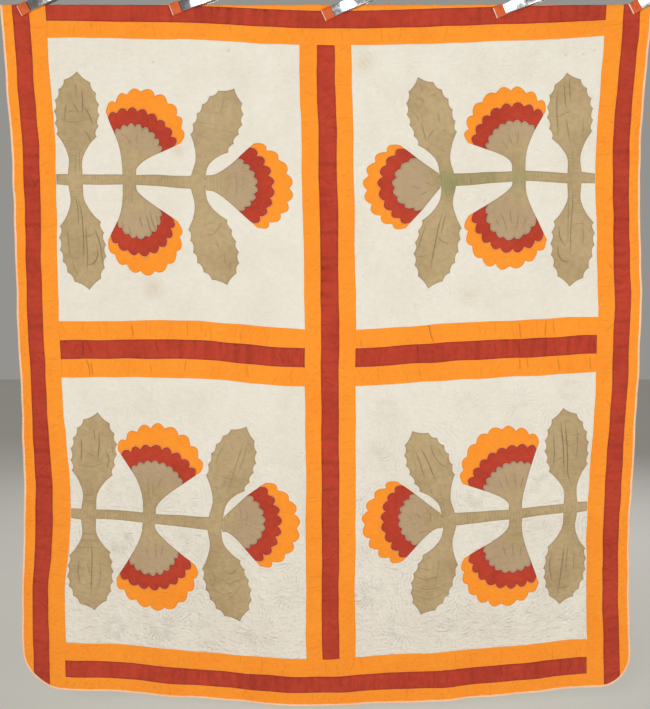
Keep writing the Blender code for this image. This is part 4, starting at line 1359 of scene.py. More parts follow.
# strength in hundredths, a flat place in millimetres, then the step to each next place
CREASES = {
    "top_left": (
        (50, -737, 259, 1, 33, -3, 36), (35, -754, 241, -2, 36), (45, -785, 298, -8, 27, -2, 27),
        (50, -731, 310, 13, 27, 8, 27), (45, -767, 298, 11, 18, 5, 18), (40, -736, 379, 14, 21, 5, 24),
        (25, -754, 433, -2, 72), (25, -766, 439, -3, 72), (25, -802, 328, 37, -6, 41, 9),
        (20, -798, 352, 37, 3, 43, -9), (45, -771, 578, 5, 42, 2, 49), (55, -762, 590, 8, 49, 5, 67, -1, 67),
        (45, -742, 669, 2, 49, 2, 49, -4, 43), (40, -797, 675, 2, 40, 5, 46), (40, -749, 700, 15, 0, 16, -6),
        (55, -710, 731, 3, 27, -13, 22, -21, 6), (55, -718, 675, 15, 40, 8, 40, 2, 37),
        (30, -784, 767, 6, 31, 14, 24), (20, -310, 278, -7, 25, -8, 30), (18, -405, 388, 36, 8),
        (20, -320, 372, 33, 7), (18, -380, 351, 42, 7), (15, -372, 320, 60, 3), (30, -328, 659, -15, 19, -10, 13),
        (25, -377, 695, 24, -4), (30, -347, 709, 9, 24), (30, -305, 771, 2, 27), (20, -389, 668, 31, -14),
        (25, -323, 744, 5, 31), (45, -559, 637, 9, 33, 8, 31), (45, -546, 630, 8, 31, 12, 31),
        (35, -528, 636, 8, 31), (35, -580, 640, 8, 36), (30, -614, 670, 11, 31), (30, -635, 658, 8, 21),
        (20, -630, 384, 21, 18, 11, 25), (20, -572, 384, -11, 30), (20, -281, 491, 2, 49, -7, 37),
        (18, -260, 508, 2, 48),
    ),
    "top_right": (
        (45, 289, 339, 9, 30, 7, 28), (35, 308, 394, 12, -21, 12, -14), (30, 271, 268, 18, -2, 9, 13),
        (25, 285, 224, 10, 24), (30, 341, 310, 6, 31), (25, 255, 301, 19, 13, 6, 24), (20, 310, 261, 24, -5),
        (60, 351, 623, -10, 33, -10, 40, -10, 42, -10, 49), (40, 364, 617, -10, 37, -7, 30),
        (40, 301, 654, -16, 39, -13, 39), (40, 335, 690, 12, 16, 21, 10), (30, 268, 750, 25, -1),
        (25, 342, 770, 22, -11), (20, 365, 543, -1, 56), (50, 735, 230, 5, 34, 6, 37), (45, 720, 239, 6, 36, 5, 40),
        (45, 703, 256, 0, 42, 2, 43, 6, 61), (40, 733, 348, 8, 37, 8, 40), (30, 706, 344, 23, -11, 21, -5),
        (30, 785, 351, 3, 49), (20, 756, 441, 4, 67), (45, 760, 563, -5, 73, -8, 74, 1, 62),
        (35, 747, 581, -5, 73, -5, 74), (50, 711, 680, 2, 34, 17, 29), (50, 706, 729, 2, 38, 15, 19, 25, 1),
        (30, 788, 681, -2, 62), (25, 760, 674, 31, 1), (30, 297, 522, 25, 13, 16, -5), (30, 281, 564, 25, -11),
        (30, 260, 532, 25, 13), (30, 557, 387, 13, 35), (30, 588, 383, -2, 43), (25, 539, 405, 16, 28),
        (35, 532, 625, 14, 32, 6, 31), (35, 563, 621, 5, 43), (30, 591, 628, -8, 49), (30, 615, 642, -13, 36),
        (25, 516, 643, 12, 25), (30, 440, 513, 3, 22), (30, 496, 513, 0, 21),
    ),
    "bottom_left": (
        (60, -729, 1309, -3, 41, -8, 49), (40, -744, 1299, 1, 39), (55, -784, 1329, -2, 39, -5, 38),
        (45, -714, 1369, 8, 32, -8, 32), (30, -768, 1377, 19, 12), (25, -693, 1337, 0, 51),
        (25, -798, 1416, 38, 6, 44, -11), (20, -796, 1533, 38, 2), (20, -796, 1513, 38, 2),
        (50, -766, 1662, 9, 52, 5, 58, 1, 73), (40, -795, 1723, 2, 39, 7, 39), (35, -769, 1734, 11, 32),
        (30, -732, 1725, 6, 52, -6, 47), (20, -799, 1638, 41, 1), (20, -798, 1661, 48, 0), (20, -803, 1684, 63, -1),
        (30, -276, 1322, -17, 57, -20, 58, -17, 58), (30, -263, 1327, -14, 51, -17, 51),
        (30, -336, 1339, -16, 32, -11, 29), (25, -266, 1321, 21, 29), (20, -373, 1435, 41, 10, 38, 3),
        (30, -340, 1728, 25, 14, 28, -24), (30, -343, 1760, 25, 14, 38, -21), (25, -368, 1794, 32, 17, 37, -16),
        (25, -375, 1731, 13, 31, -12, 39), (25, -286, 1778, -19, 31, -25, 21), (30, -588, 1462, 5, 38, -4, 32),
        (25, -567, 1467, -4, 39), (30, -541, 1454, -13, 32), (30, -591, 1672, 10, 32), (30, -560, 1668, 5, 38),
        (30, -535, 1666, -5, 33), (25, -295, 1526, 6, 38), (25, -270, 1540, -3, 44),
    ),
    "bottom_right": (
        (60, 283, 1340, 20, 42, 17, 37, 14, 32), (45, 268, 1351, 13, 42, 17, 46),
        (40, 312, 1323, 10, 39, 23, 33, 29, 15), (30, 338, 1347, 16, 30), (25, 311, 1456, 14, 45),
        (30, 347, 1694, -3, 38, -6, 38), (25, 263, 1744, 39, 13, 52, -8), (25, 263, 1776, 46, 14, 58, -8),
        (22, 270, 1809, 45, 13, 52, -11), (20, 283, 1720, 39, 10), (65, 724, 1291, 10, 51, 7, 58, 6, 52),
        (60, 739, 1285, 7, 58, 8, 64, 6, 52, 13, 39), (50, 704, 1328, 7, 51, 0, 54), (35, 779, 1313, 3, 51, 1, 51),
        (30, 719, 1408, 31, -7), (25, 758, 1337, 38, -4), (60, 757, 1684, -6, 58, -9, 58, -3, 45),
        (50, 715, 1707, -6, 45, 7, 53), (35, 770, 1682, -6, 55, -3, 45), (35, 790, 1713, -3, 58),
        (30, 719, 1818, 33, 9, 32, -10), (25, 732, 1734, 32, 3), (30, 300, 1531, 20, 27, -7, 25),
        (30, 271, 1547, 20, 21), (30, 281, 1612, 26, -5), (30, 558, 1447, 11, 39), (30, 587, 1442, 5, 45),
        (30, 616, 1457, -8, 37), (25, 540, 1465, 14, 32), (30, 559, 1673, 13, 37), (30, 591, 1669, 4, 46),
        (30, 620, 1678, -6, 35), (25, 440, 1573, 4, 26), (25, 514, 1571, 4, 23),
    ),
    "strips": (
        (55, -612, 975, 7, 41), (60, -762, 1021, 1, 54), (45, -755, 1075, 8, 31, 1, 35), (50, -750, 1027, 17, 38),
        (40, -740, 1087, 3, 50), (50, -540, 1022, 7, 40), (30, -561, 1094, 5, 31), (30, -444, 1077, -7, 43),
        (40, -160, 1035, 12, 36), (30, -781, 1037, -11, 34), (30, -562, 1031, 5, 28), (25, -438, 965, -1, 50),
        (30, -609, 1038, 12, 21), (30, -470, 1031, 8, 28), (30, -132, 1036, 0, 37), (30, -95, 1034, 3, 36),
        (25, -279, 984, 3, 37), (25, -259, 1084, 6, 40), (55, 303, 951, 7, 41, 9, 29), (45, 267, 1023, 3, 37),
        (40, 586, 969, 7, 54), (45, 669, 964, -2, 59), (40, 586, 1029, 2, 47), (45, 588, 1079, 4, 41),
        (35, 609, 1077, 8, 38), (40, 706, 1081, 8, 48), (45, 738, 1023, -1, 53), (40, 819, 1030, 2, 47),
        (35, 99, 1017, 16, 19), (30, 323, 1021, 9, 22), (35, 509, 1028, 7, 35), (40, 667, 1026, 4, 41),
        (30, 695, 1046, 8, 32), (30, 801, 1042, 7, 32), (30, 757, 1027, 10, 38), (30, 434, 1031, 7, 31),
        (30, 391, 1032, -6, 37), (30, 96, 995, 3, 25), (25, 274, 1095, 6, 38), (35, 809, 1089, 4, 45),
        (30, 691, 971, 4, 41), (30, -4, 148, 21, 18), (30, -9, 326, 19, -24), (35, -19, 500, 31, 18),
        (30, 6, 657, -25, 24), (30, -16, 870, 19, -18), (30, -20, 1117, 31, 25), (35, 7, 1273, -25, 31),
        (30, -16, 1493, 25, 25), (30, -15, 1684, 28, -26), (30, -9, 1876, 29, 33), (35, -909, 516, 21, 45),
        (35, -881, 518, -23, 49), (30, -906, 321, 23, 23), (30, -905, 688, 23, -18), (35, -901, 780, 19, 31),
        (30, -904, 960, 27, -26), (35, -906, 1070, 24, 28), (30, -913, 1278, 21, 25), (30, -913, 1441, 22, -27),
        (30, -916, 1673, 25, 24), (30, -905, 1872, 24, 24), (30, -897, 2037, 22, -35), (30, 868, 361, 26, 26),
        (30, 868, 605, 25, -23), (30, 863, 795, 21, 32), (30, 860, 1007, 24, -24), (30, 866, 1229, 24, 33),
        (30, 881, 1454, 17, -24), (30, 886, 1682, 23, 35), (30, 884, 1911, 22, -24), (30, 872, 2056, 21, 31),
        (25, -695, 2058, 6, 39), (30, -476, 2054, 9, 40), (25, -269, 2059, 5, 40), (30, 28, 2066, 9, 40),
        (25, 288, 2069, 6, 39), (30, 548, 2057, 9, 39), (30, 743, 2060, 6, 36), (25, -699, 31, 3, 48),
        (25, -284, 26, 2, 50), (25, -76, 29, 9, 43), (25, 224, 25, 7, 42), (25, 430, 19, 5, 48),
        (25, 695, 15, 5, 45),
    ),
}


@dataclass
class Top:
    """The quilt's top: cream blocks, strips and applique."""

    tailor: Tailor
    quilting: Quilting
    cloths: dict[Colour, bpy.types.Material]
    motif: list[Block]
    block_spacing: float = 0.0036
    strip_spacing: float = 0.0053
    applique_spacing: float = 0.0046
    hidden_spacing: float = 0.011
    hidden_depth: float = 0.004
    patch_back_spacing: float = 0.022
    applique_back_spacing: float = 0.014

    def build(self) -> list[bpy.types.Object]:
        """Build every patch and applique piece."""
        pieces = []
        for block in self.motif:
            shapes = block.appliques()
            outlines = {name: Outline.spaced(block.flat(shape), SHAPE_SPACING) for name, (_, shape) in shapes.items()}
            pieces.append(self.ground(block, list(outlines.values())))
            pieces += [self.applique(name, colour, block, outlines[name]) for name, (colour, _) in shapes.items()]
        return pieces + [self.strip(patch) for patch in patches()]

    def cut(self, name: str, colour: Colour, corners: np.ndarray, spacing: float, face: Callable,
            under: tuple[float, float], **options: object) -> bpy.types.Object:
        """Cut one piece.

        Args:
            name: Piece name.
            colour: Its cotton.
            corners: Its outline in the flat.
            spacing: How far apart places of its face lie.
            face: Its seen face.
            under: Where its other side lies, and how far apart places of that lie.
            options: What else the tailor is told.

        Returns:
            The piece.
        """
        piece = self.tailor.cut(name, corners, spacing, face, under[0], self.cloths[colour], under[1], **options)
        return piece

    def ground(self, block: Block, outlines: list[Outline]) -> bpy.types.Object:
        """Build one cream block, coarse where applique hides it."""
        left, right = sorted((block.side * SASH_SEAMS[1], block.side * BORDER_SEAMS[0]))
        bottom = MIDDLE_SEAMS[0] if block.top < 1 else BOTTOM_SEAMS[0]
        patch = Patch(f"block_{block.name}", Colour.CREAM, left, right, block.top, bottom)

        def gap(flat: np.ndarray) -> np.ndarray:
            """How far places lie outside the applique, or less than 0 inside it."""
            away = distance_to(outlines, flat, 0.002)
            return np.where(np.any([outline.holds(flat) for outline in outlines], axis=0), -away, away)

        def face(flat: np.ndarray, edge: np.ndarray) -> Face:
            """The block's quilted face with its stains."""
            made = self.quilting.ground(block, flat, edge, np.maximum(gap(flat), 0.0))
            made.tone = np.zeros((len(flat), 3))
            stain(made.tone, patch.name, block.own(flat))
            return made

        def kept(flat: np.ndarray) -> np.ndarray:
            """Every place in sight, and one in each small square of those well under the applique."""
            few = np.zeros(len(flat), bool)
            few[np.unique(np.floor(flat / self.hidden_spacing), axis=0, return_index=True)[1]] = True
            return (gap(flat) > -self.hidden_depth) | few

        return self.cut(patch.name, patch.colour, patch.corners(), self.block_spacing, face,
                        (PATCH_BACK, self.patch_back_spacing), thin_out=kept)

    def strip(self, patch: Patch) -> bpy.types.Object:
        """Build one strip."""
        middle = (patch.left + patch.right) / 2 if patch.upright() else (patch.top + patch.bottom) / 2

        def face(flat: np.ndarray, edge: np.ndarray) -> Face:
            """The strip's quilted face."""
            return self.quilting.strip(patch.colour, flat, edge, patch.upright(), middle)

        return self.cut(patch.name, patch.colour, patch.corners(), self.strip_spacing, face,
                        (PATCH_BACK, self.patch_back_spacing),
                        creased=Creases(Creases.by_hand("strips") + Creases.across(patch)))

    def applique(self, name: str, colour: Colour, block: Block, outline: Outline) -> bpy.types.Object:
        """Build one applique piece on its block."""

        def face(flat: np.ndarray, edge: np.ndarray) -> Face:
            """The piece's quilted face."""
            if colour is not Colour.TAN:
                return self.quilting.band(flat, edge, colour)
            made = self.quilting.leafy(block, flat, edge)
            stain(made.tone, name, block.own(flat))
            return made

        creased = Creases(Creases.by_hand(block.name)) if colour is Colour.TAN else None
        return self.cut(f"{name}_cloth", colour, outline.points, self.applique_spacing, face,
                        (APPLIQUE_BACK, self.applique_back_spacing), creased=creased)


# across, down, radius and strength in a block's own frame, and 1 for a dark speck
STAINS = {
    "block_top_left": ((0.288, 0.755, 0.030, 0.30, 0), (0.374, 0.332, 0.020, 0.25, 0),
                       (0.540, 0.027, 0.0035, 0.45, 1), (0.314, 0.067, 0.0035, 0.40, 1)),
    "block_top_right": ((0.713, 0.054, 0.030, 0.25, 0), (0.406, 0.771, 0.026, 0.18, 0),
                        (0.109, 0.051, 0.003, 0.4, 1), (0.059, 0.051, 0.003, 0.4, 1),
                        (0.027, 0.043, 0.003, 0.35, 1)),
    "vine_top_right": ((0.450, 0.424, 0.045, 1.0, 0), (0.390, 0.416, 0.040, 0.5, 0), (0.330, 0.412, 0.045, 0.6, 0),
                       (0.240, 0.416, 0.036, 0.7, 0), (0.180, 0.418, 0.040, 0.3, 0)),
}


def stain(tone: np.ndarray, name: str, own: np.ndarray) -> None:
    """Add a piece's stains and specks to its tone.

    Args:
        tone: Its tones, a row for each place.
        name: Its name in the table.
        own: Its places in the block's frame.
    """
    for across, down, radius, strength, column in STAINS.get(name, ()):
        away = np.abs(own - complex(across, down)) / radius
        tone[:, column] = np.maximum(tone[:, column], strength * np.exp(-(away**2)))


@dataclass
class Under:
    """What lies behind the top and round its edge: the muslin back and the narrow binding."""

    tailor: Tailor
    quilting: Quilting
    motif: list[Block]
    back_spacing: float = 0.0134
    front_spacing: float = 0.018
    binding_spacing: float = 0.006
    binding_sides: int = 10
    overlap: float = 0.0024
    pucker_length: float = 0.0085

    def outline(self) -> np.ndarray:
        """The quilt's own outline in the flat."""
        return rounded_sheet(-HALF_WIDTH, HALF_WIDTH, TOP, BOTTOM)

    def backing(self, muslin: bpy.types.Material) -> bpy.types.Object:
        """Build the muslin back."""

        def face(flat: np.ndarray, edge: np.ndarray) -> Face:
            """The back's face."""
            return self.quilting.back(self.motif, flat, edge)

        return self.tailor.cut("muslin_backing", self.outline(), self.back_spacing, face, BACKING_FRONT, muslin,
                               self.front_spacing, seen_from_behind=True)

    def binding(self, cotton: bpy.types.Material) -> bpy.types.Object:
        """Build the binding as one closed bar round the rim."""
        rim, sides = Outline.spaced(self.outline(), self.binding_spacing), self.binding_sides
        out, count = rim.outwards(), len(rim.points)
        along = np.concatenate(([0.0], np.cumsum(lengths(np.diff(rim.points, axis=0)))))
        pucker = 1 + 0.06 * np.sin(along / 0.0075 * 2 * np.pi / 2) + 0.05 * np.sin(along / 0.031)
        flats, lifts = [], []
        for step in range(sides):
            turn = 2 * math.pi * step / sides
            wide = math.copysign(abs(math.cos(turn)) ** 0.8, math.cos(turn))
            reach = (BINDING_WIDTH - self.overlap) / 2 + (BINDING_WIDTH + self.overlap) / 2 * wide
            flats.append(rim.points + out * reach)
            lifts.append(np.full(count, 0.56 * BINDING_THICKNESS * math.sin(turn)) * pucker)
        flat = np.stack(flats, axis=1).reshape(-1, 2)
        places = self.tailor.hang.place(flat, np.stack(lifts, axis=1).ravel())
        mesh = bpy.data.meshes.new("binding_bar")
        mesh.from_pydata(places.tolist(), [], wall(count, sides, closed=True))
        line = rows_of(np.repeat(along / self.pucker_length, sides), 0.5, self.pucker_length)
        self.tailor.mark(mesh, flat, Face(flat[:, 0], line=line), len(flat))
        turn_outwards(mesh)
        return report(new_object("binding_bar", mesh, cotton))


def turn_outwards(mesh: bpy.types.Mesh) -> None:
    """Turn every face of a closed mesh outwards."""
    bm = bmesh.new()
    bm.from_mesh(mesh)
    bmesh.ops.recalc_face_normals(bm, faces=bm.faces)
    bm.to_mesh(mesh)
    bm.free()


# The hemming
@dataclass
class Hemming:
    """Small stitches round every applique piece, laid by a Geometry Nodes tree."""

    pitch: float = 0.008
    length: float = 0.0024
    radius: float = 0.00028
    inset: float = 0.0011

    def build(self, name: str, loops: list[np.ndarray], thread: bpy.types.Material) -> bpy.types.Object:
        """Build the stitches along closed loops of hung places: a small bar at every pitch.

        Args:
            name: Piece name.
            loops: Rows of (x, y, z), one array a loop.
            thread: Their cotton.

        Returns:
            The stitches in one piece.
        """
        edges, start = [], 0
        for loop in loops:
            edges += [(start + index, start + (index + 1) % len(loop)) for index in range(len(loop))]
            start += len(loop)
        mesh = bpy.data.meshes.new(f"{name}_line")
        mesh.from_pydata(np.vstack(loops).tolist(), edges, [])
        tree = Shape("stitches_along_edges", {"Pitch": self.pitch, "Length": self.length / 2, "Radius": self.radius})
        given = tree.given
        curve = tree.add("GeometryNodeMeshToCurve", {"Mesh": given["Geometry"]})
        places = tree.add("GeometryNodeResampleCurve", {"Curve": curve, "Length": given["Pitch"]}, mode="LENGTH")
        bar = tree.add("GeometryNodeMeshUVSphere", {"Segments": 4, "Rings": 2, "Radius": 1.0})
        size = tree.add("ShaderNodeCombineXYZ", {0: given["Radius"], 1: given["Radius"], 2: given["Length"]})
        bar = tree.add("GeometryNodeTransform", {"Geometry": bar, "Scale": size})
        turned = tree.add("FunctionNodeAlignRotationToVector", {"Vector": tree.add("GeometryNodeInputTangent")},
                          axis="Z")
        laid = tree.add("GeometryNodeInstanceOnPoints", {"Points": places, "Instance": bar, "Rotation": turned})
        return report(tree.run(name, new_object(f"{name}_line", mesh, thread), laid, thread))


def wall(rings: int, sides: int, closed: bool = False) -> list[tuple]:
    """Faces between rings of points.

    Args:
        rings: How many rings.
        sides: How many points each has.
        closed: Whether the last ring meets the first.

    Returns:
        Each face's four points.
    """
    faces = []
    for ring in range(rings if closed else rings - 1):
        low, high = ring * sides, (ring + 1) % rings * sides
        for side in range(sides):
            turn = (side + 1) % sides
            faces.append((low + side, low + turn, high + turn, high + side))
    return faces


# The clamps
def loft(name: str, rings: list[np.ndarray], material: bpy.types.Material, tone: np.ndarray | None = None
         ) -> bpy.types.Object:
    """A closed body through rings of the same number of points.

    Args:
        name: Piece name.
        rings: Rows of (x, y, z), one array a ring.
        material: Its material.
        tone: How pale each ring's points are.

    Returns:
        The piece.
    """
    count, sides = len(rings), len(rings[0])
    faces, last = wall(count, sides), (count - 1) * sides
    places = np.vstack((*rings, rings[0].mean(axis=0), rings[-1].mean(axis=0)))
    for side in range(sides):
        turn = (side + 1) % sides
        faces += [(count * sides, turn, side), (count * sides + 1, last + side, last + turn)]
    mesh = bpy.data.meshes.new(name)
    mesh.from_pydata(places.tolist(), [], faces)
    if tone is not None:
        every = np.zeros((len(places), 3))
        every[:-2, 0] = np.repeat(tone, sides)
        mark_points(mesh, "tone", every)
    turn_outwards(mesh)
    piece = new_object(name, mesh, material)
    mesh.set_sharp_from_angle(angle=math.radians(42))
    return piece


def arc(wide: float, out: float, radius: float, start: float = 0.0, steps: int = 5) -> list[tuple[float, float]]:
    """Places a quarter turn round a point, from so many quarters on."""
    turns = np.linspace(start * math.pi / 2, (start + 1) * math.pi / 2, steps)
    return [(wide + radius * math.cos(turn), out + radius * math.sin(turn)) for turn in turns]


def rounded_box(half: float, inner: float, outer: float, radius: float) -> list[tuple[float, float]]:
    """Places (wide, out) round a rectangle with round corners.

    Args:
        half: Half its width.
        inner: Where it starts, outwards.
        outer: Where it ends.
        radius: Radius of its corners.

    Returns:
        Its places in order.
    """
    middle, deep = (inner + outer) / 2, (outer - inner) / 2
    radius = min(radius, half * 0.98, deep * 0.98)
    points = []
    for quarter, (wide, out) in enumerate(((1, 1), (-1, 1), (-1, -1), (1, -1))):
        points += arc(wide * (half - radius), middle + out * (deep - radius), radius, quarter)
    return points


@dataclass(frozen=True)
class SpringClamp:
    """One spring clamp: two bent steel arms with soft tips and grips, a pin and a wound spring.

    Its own frame runs along the arms from the tips' ends, out from the cloth and wide across the jaws.
    """

    name: str
    across: float
    height: float
    rise: float
    steel: bpy.types.Material
    vinyl: bpy.types.Material
    face: tuple = (0.0071, 0.0067)
    nesting: tuple = (0.0, 0.0025)
    thickness: float = 0.0018
    # along, inside, half width, flange
    arm: tuple = (
        (0.0303, 0.0085, 0.0160, 0.0006), (0.060, 0.0170, 0.0180, 0.0050), (0.100, 0.0215, 0.0205, 0.0125),
        (0.139, 0.0195, 0.0215, 0.0110), (0.144, 0.0193, 0.0215, 0.0255), (0.160, 0.0193, 0.0215, 0.0255),
        (0.176, 0.0225, 0.0190, 0.0080), (0.240, 0.0420, 0.0130, 0.0060),
    )
    # where along a soft tip its sections lie, and how far its pale end line reaches
    tip: tuple = (0.0, 0.0005, 0.0014, 0.0021, 0.0023, 0.0036, 0.006, 0.010, 0.016, 0.022, 0.027, 0.0288, 0.0300)
    pale_to: float = 0.0022
    pivot: float = 0.152
    pin_radius: float = 0.0026
    pin_sides: int = 20
    head: tuple = (0.0055, 0.0024)
    spring_radius: float = 0.0078
    spring_half: float = 0.0135
    wire: float = 0.0012
    turns: float = 6.0
    grip: tuple = (0.186, 0.2425)

    def placed(self, piece: bpy.types.Object) -> bpy.types.Object:
        """Carry a piece's mesh from the clamp's own frame to its place."""
        turn = Matrix.Rotation(-math.radians(self.rise), 4, "Y")
        piece.data.transform(Matrix.Translation((self.across, 0, self.height)) @ turn)
        piece.data.update()
        return report(piece)

    def lofted(self, part: str, sections: list[tuple], side: int, slot: str, tone: np.ndarray | None = None
               ) -> bpy.types.Object:
        """Build a piece through sections, each where it lies along the arm and its places (wide, out)."""
        rings = [np.array([(along, side * out, wide) for wide, out in places]) for along, places in sections]
        return self.placed(loft(f"{self.name}_{part}", rings, getattr(self, slot), tone))

    def stations(self, index: int) -> np.ndarray:
        """Rows of (along, inside, half width, flange) down one arm, eased where they change."""
        table = np.array(self.arm)
        along = np.linspace(table[0, 0], table[-1, 0], 60)
        rows = rows_of(along, *(np.interp(along, table[:, 0], column) for column in table[:, 1:].T))
        for _ in range(2):
            rows[1:-1, 1:] = (rows[:-2, 1:] + 2 * rows[1:-1, 1:] + rows[2:, 1:]) / 4
        rows[:, 2] -= self.nesting[index]
        return rows

    def channel(self, inside: float, wide: float, flange: float) -> list[tuple[float, float]]:
        """One section of an arm: a channel with round bends, its flanges towards the cloth.

        Args:
            inside: How far out its inner face lies.
            wide: Half its width.
            flange: How deep its flanges are.

        Returns:
            Its places (wide, out) in order.
        """
        bend = min(0.0034, flange + self.thickness * 0.9)
        outer, inner = (
            [(edge, inside - flange), *arc(edge - radius, inside + top - radius, radius)]
            for edge, top, radius in ((wide, self.thickness, bend),
                                      (wide - self.thickness, 0.0, max(bend - self.thickness, 0.0002)))
        )
        return [*outer, (0.0, inside + self.thickness), *((-w, o) for w, o in outer[::-1]),
                *((-w, o) for w, o in inner), (0.0, inside), *inner[::-1]]

    def soft_tip(self, inner: float) -> list[tuple]:
        """Sections of a soft tip, round at its end."""
        made = []
        for along in self.tip:
            depth = np.interp(along, (0.0, 0.004, 0.030), (0.0060, 0.0080, 0.0085))
            half = np.interp(along, (0.0, 0.004, 0.030), (0.0170, 0.0180, 0.0182))
            draw = 0.0009 * (1 - math.sqrt(max(0.0, 1 - (1 - min(along / 0.0014, 1.0)) ** 2)))
            lip = 0.0004 if along > 0.027 else 0.0
            made.append((along, rounded_box(half - draw + lip, inner, inner + depth - draw + lip, 0.0036)))
        return made

    def dipped(self, index: int) -> list[tuple]:
        """Sections of the dipped vinyl on one handle."""
        rows, made = self.stations(index), []
        for share in (0.0, 0.02, 0.05, 0.2, 0.4, 0.6, 0.8, 0.93, 0.98, 1.0):
            along = self.grip[0] + (self.grip[1] - self.grip[0]) * share
            inside, half, flange = (np.interp(along, rows[:, 0], rows[:, column]) for column in (1, 2, 3))
            coat = 0.0004 + 0.0011 * math.sqrt(1 - (1 - min(share / 0.05, (1 - share) / 0.07, 1.0)) ** 2)
            box = rounded_box(half + coat, inside - flange - coat, inside + self.thickness + coat, 0.0040)
            made.append((along, box))
        return made

    def pin_piece(self) -> bpy.types.Object:
        """The pin with its two domed heads."""
        flange = max(row[2] for row in self.arm) + 0.0003
        radius, length = self.head
        profile = [(flange + length, 0.0012), (flange + length * 0.92, radius * 0.62),
                   (flange + length * 0.6, radius * 0.9), (flange + length * 0.2, radius), (flange, radius),
                   (flange - 0.0001, self.pin_radius)]
        turns = np.linspace(0, 2 * math.pi, self.pin_sides + 1)[:-1]
        rings = [rows_of(self.pivot + reach * np.cos(turns), reach * np.sin(turns), wide)
                 for wide, reach in [(-wide, reach) for wide, reach in profile] + profile[::-1]]
        return self.placed(loft(f"{self.name}_pin", rings, self.steel))

    def spring_piece(self) -> bpy.types.Object:
        """The wound spring round the pin, from a tree that winds a wire into a coil."""
        tree = Shape("wound_spring", {"Turns": self.turns, "Coil Radius": self.spring_radius,
                                      "Coil Length": 2 * self.spring_half, "Wire Radius": self.wire,
                                      "Along": self.pivot})
        given = tree.given
        spiral = tree.add("GeometryNodeCurveSpiral", {
            "Resolution": 22, "Rotations": given["Turns"], "Start Radius": given["Coil Radius"],
            "End Radius": given["Coil Radius"], "Height": given["Coil Length"]})
        ring = tree.add("GeometryNodeCurvePrimitiveCircle", {"Resolution": 7, "Radius": given["Wire Radius"]})
        wire = tree.add("GeometryNodeCurveToMesh", {"Curve": spiral, "Profile Curve": ring, "Fill Caps": True})
        half = tree.add("ShaderNodeMath", {0: given["Coil Length"], 1: -0.5}, operation="MULTIPLY")
        shift = tree.add("ShaderNodeCombineXYZ", {0: given["Along"], 2: half})
        moved = tree.add("GeometryNodeTransform", {"Geometry": wire, "Translation": shift})
        start = new_object(f"{self.name}_start", bpy.data.meshes.new("start"), self.steel)
        piece = tree.run(f"{self.name}_spring", start, moved, self.steel)
        turn_outwards(piece.data)
        return self.placed(piece)

    def build(self) -> list[bpy.types.Object]:
        """Build the clamp and hide the solids that its pieces stand for."""
        pieces = []
        for index, word, side in ((0, "front", -1), (1, "back", 1)):
            bends = [(along, self.channel(*row)) for along, *row in self.stations(index)]
            arm = self.lofted(f"{word}_steel_arm", bends, side, "steel")
            pale = np.array(self.tip) < self.pale_to
            tip = self.lofted(f"{word}_soft_tip", self.soft_tip(self.face[index]), side, "vinyl", pale)
            grip = self.lofted(f"{word}_grip", self.dipped(index), side, "vinyl")
            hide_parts(f"{self.name}_{word}_arm")
            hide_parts(f"{self.name}_{word}_tip")
            pieces += [arm, tip, grip]
        pin = self.pin_piece()
        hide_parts(f"{self.name}_pivot")
        return [*pieces, pin, self.spring_piece()]


CLAMP_ROWS = (
    ("clamp_1", -0.920, -0.021, 27), ("clamp_2", -0.464, -0.018, 21), ("clamp_3", -0.005, -0.035, 25),
    ("clamp_4", 0.511, -0.027, 23), ("clamp_5", 0.920, -0.015, 27),
)


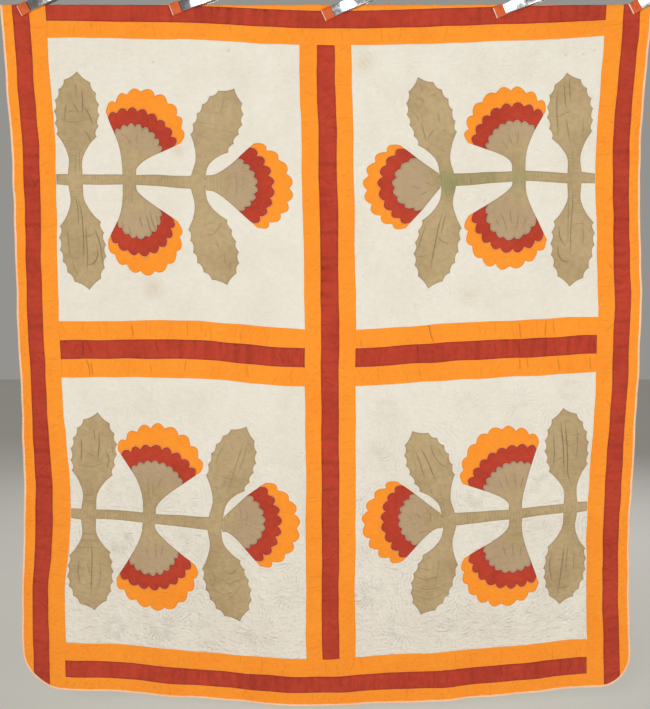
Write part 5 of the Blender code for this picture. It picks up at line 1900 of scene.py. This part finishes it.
# The studio
@dataclass(frozen=True)
class Studio:
    """Plain pale floor, soft lights and the camera."""

    floor_height: float = -2.26
    floor_half: float = 9.0
    target: tuple = (0, 0, -1.1)
    # name, place, size and power
    lights: tuple = (
        ("key_light", (-1.1, -6.0, 0.1), 1.6, 167), ("fill_light", (2.9, -5.8, -1.2), 2.4, 108),
        ("back_light", (0.5, 3.5, 0.8), 2.5, 70),
    )
    air: float = 0.37
    camera_place: tuple = (0.0, -3.978, -0.6426)
    camera_fall: float = 6.0
    lens: float = 65.5

    def floor(self) -> None:
        """A wide pale floor."""
        mesh, wide = bpy.data.meshes.new("studio_floor"), self.floor_half
        corners = [(x * wide, y * wide, self.floor_height) for x, y in ((-1, -1), (1, -1), (1, 1), (-1, 1))]
        mesh.from_pydata(corners, [], [(0, 1, 2, 3)])
        graph = Graph("studio_paint", Roughness=0.9)
        paint = graph.mix(graph.noise(1.5, 3.0), srgb(228, 226, 220), srgb(222, 220, 213))
        new_object("studio_floor", mesh, graph.finish(Base_Color=paint))

    def put(self, data: bpy.types.ID, place: tuple) -> bpy.types.Object:
        """Put a lamp or camera at a place."""
        made = bpy.data.objects.new(data.name, data)
        made.location = place
        bpy.context.scene.collection.objects.link(made)
        return made

    def build(self) -> None:
        """Build floor, lights, surroundings and camera."""
        self.floor()
        for name, place, size, power in self.lights:
            lamp = bpy.data.lights.new(name, "AREA")
            lamp.size, lamp.energy = size, power
            way = Vector(self.target) - Vector(place)
            self.put(lamp, place).rotation_euler = way.to_track_quat("-Z", "Y").to_euler()
        scene = bpy.context.scene
        scene.world = bpy.data.worlds.new("studio_air")
        scene.world.use_nodes = True
        air = scene.world.node_tree.nodes["Background"].inputs
        air["Color"].default_value, air["Strength"].default_value = srgb(232, 230, 224), self.air
        scene.view_settings.view_transform = "Standard"
        camera = bpy.data.cameras.new("camera")
        camera.lens, camera.sensor_width = self.lens, 36.0
        scene.camera = self.put(camera, self.camera_place)
        scene.camera.rotation_euler = (math.radians(90 - self.camera_fall), 0, 0)


def stitches(tailor: Tailor, quilting: Quilting, motif: list[Block]) -> list[bpy.types.Object]:
    """Build the hem stitches of each cotton's applique pieces."""
    hemming, made = Hemming(), []
    for colour, thread in THREADS.items():
        loops = []
        for block in motif:
            for dye, shape in block.appliques().values():
                if dye is colour:
                    outline = Outline.spaced(block.flat(shape), SHAPE_SPACING)
                    inset = spread_apart(outline.points - outline.outwards() * hemming.inset, 0.0015)
                    gap = np.full(len(inset), hemming.inset)
                    face = (quilting.leafy(block, inset, gap) if colour is Colour.TAN
                            else quilting.band(inset, gap, colour))
                    loops.append(tailor.hang.place(inset, face.lift + hemming.radius * 0.5))
        cotton = Cotton(f"{colour.value}_thread", thread, tuple(int(0.85 * part) for part in thread), 0.16)
        piece = hemming.build(f"{colour.value}_stitches", loops, cotton.material())
        made.append(piece)
    return made


def cloth_pieces(tailor: Tailor) -> None:
    """Build the quilt, and hide the solids that its pieces stand for."""
    quilting, motif = Quilting(), blocks()
    cloths = {colour: cotton.material() for colour, cotton in COTTONS.items()}
    pieces = Top(tailor, quilting, cloths, motif).build()
    under = Under(tailor, quilting, motif)
    backing, binding = under.backing(MUSLIN.material()), under.binding(cloths[Colour.PEACH])
    pieces += stitches(tailor, quilting, motif)

    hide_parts("quilt_body")
    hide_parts("binding")
    nodes = set(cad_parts)
    for piece in pieces:
        if piece.name in nodes:
            raise ValueError(f"{piece.name} has a solid's name")
        node = piece.name.removesuffix("_cloth")
        if node in nodes:
            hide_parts(node)
    for piece in [backing, binding, *pieces]:
        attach(piece, "root")


def main() -> None:
    """Build the quilt, its clamps and the studio."""
    logging.basicConfig(level=logging.INFO, format="%(message)s")
    cloth_pieces(Tailor(Hang()))
    steel, vinyl = Steel().material(), Vinyl().material()
    for name, across, height, rise in CLAMP_ROWS:
        for piece in SpringClamp(name, across, height, rise, steel, vinyl).build():
            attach(piece, "root")
    Studio().build()


if __name__ == "__main__":
    main()
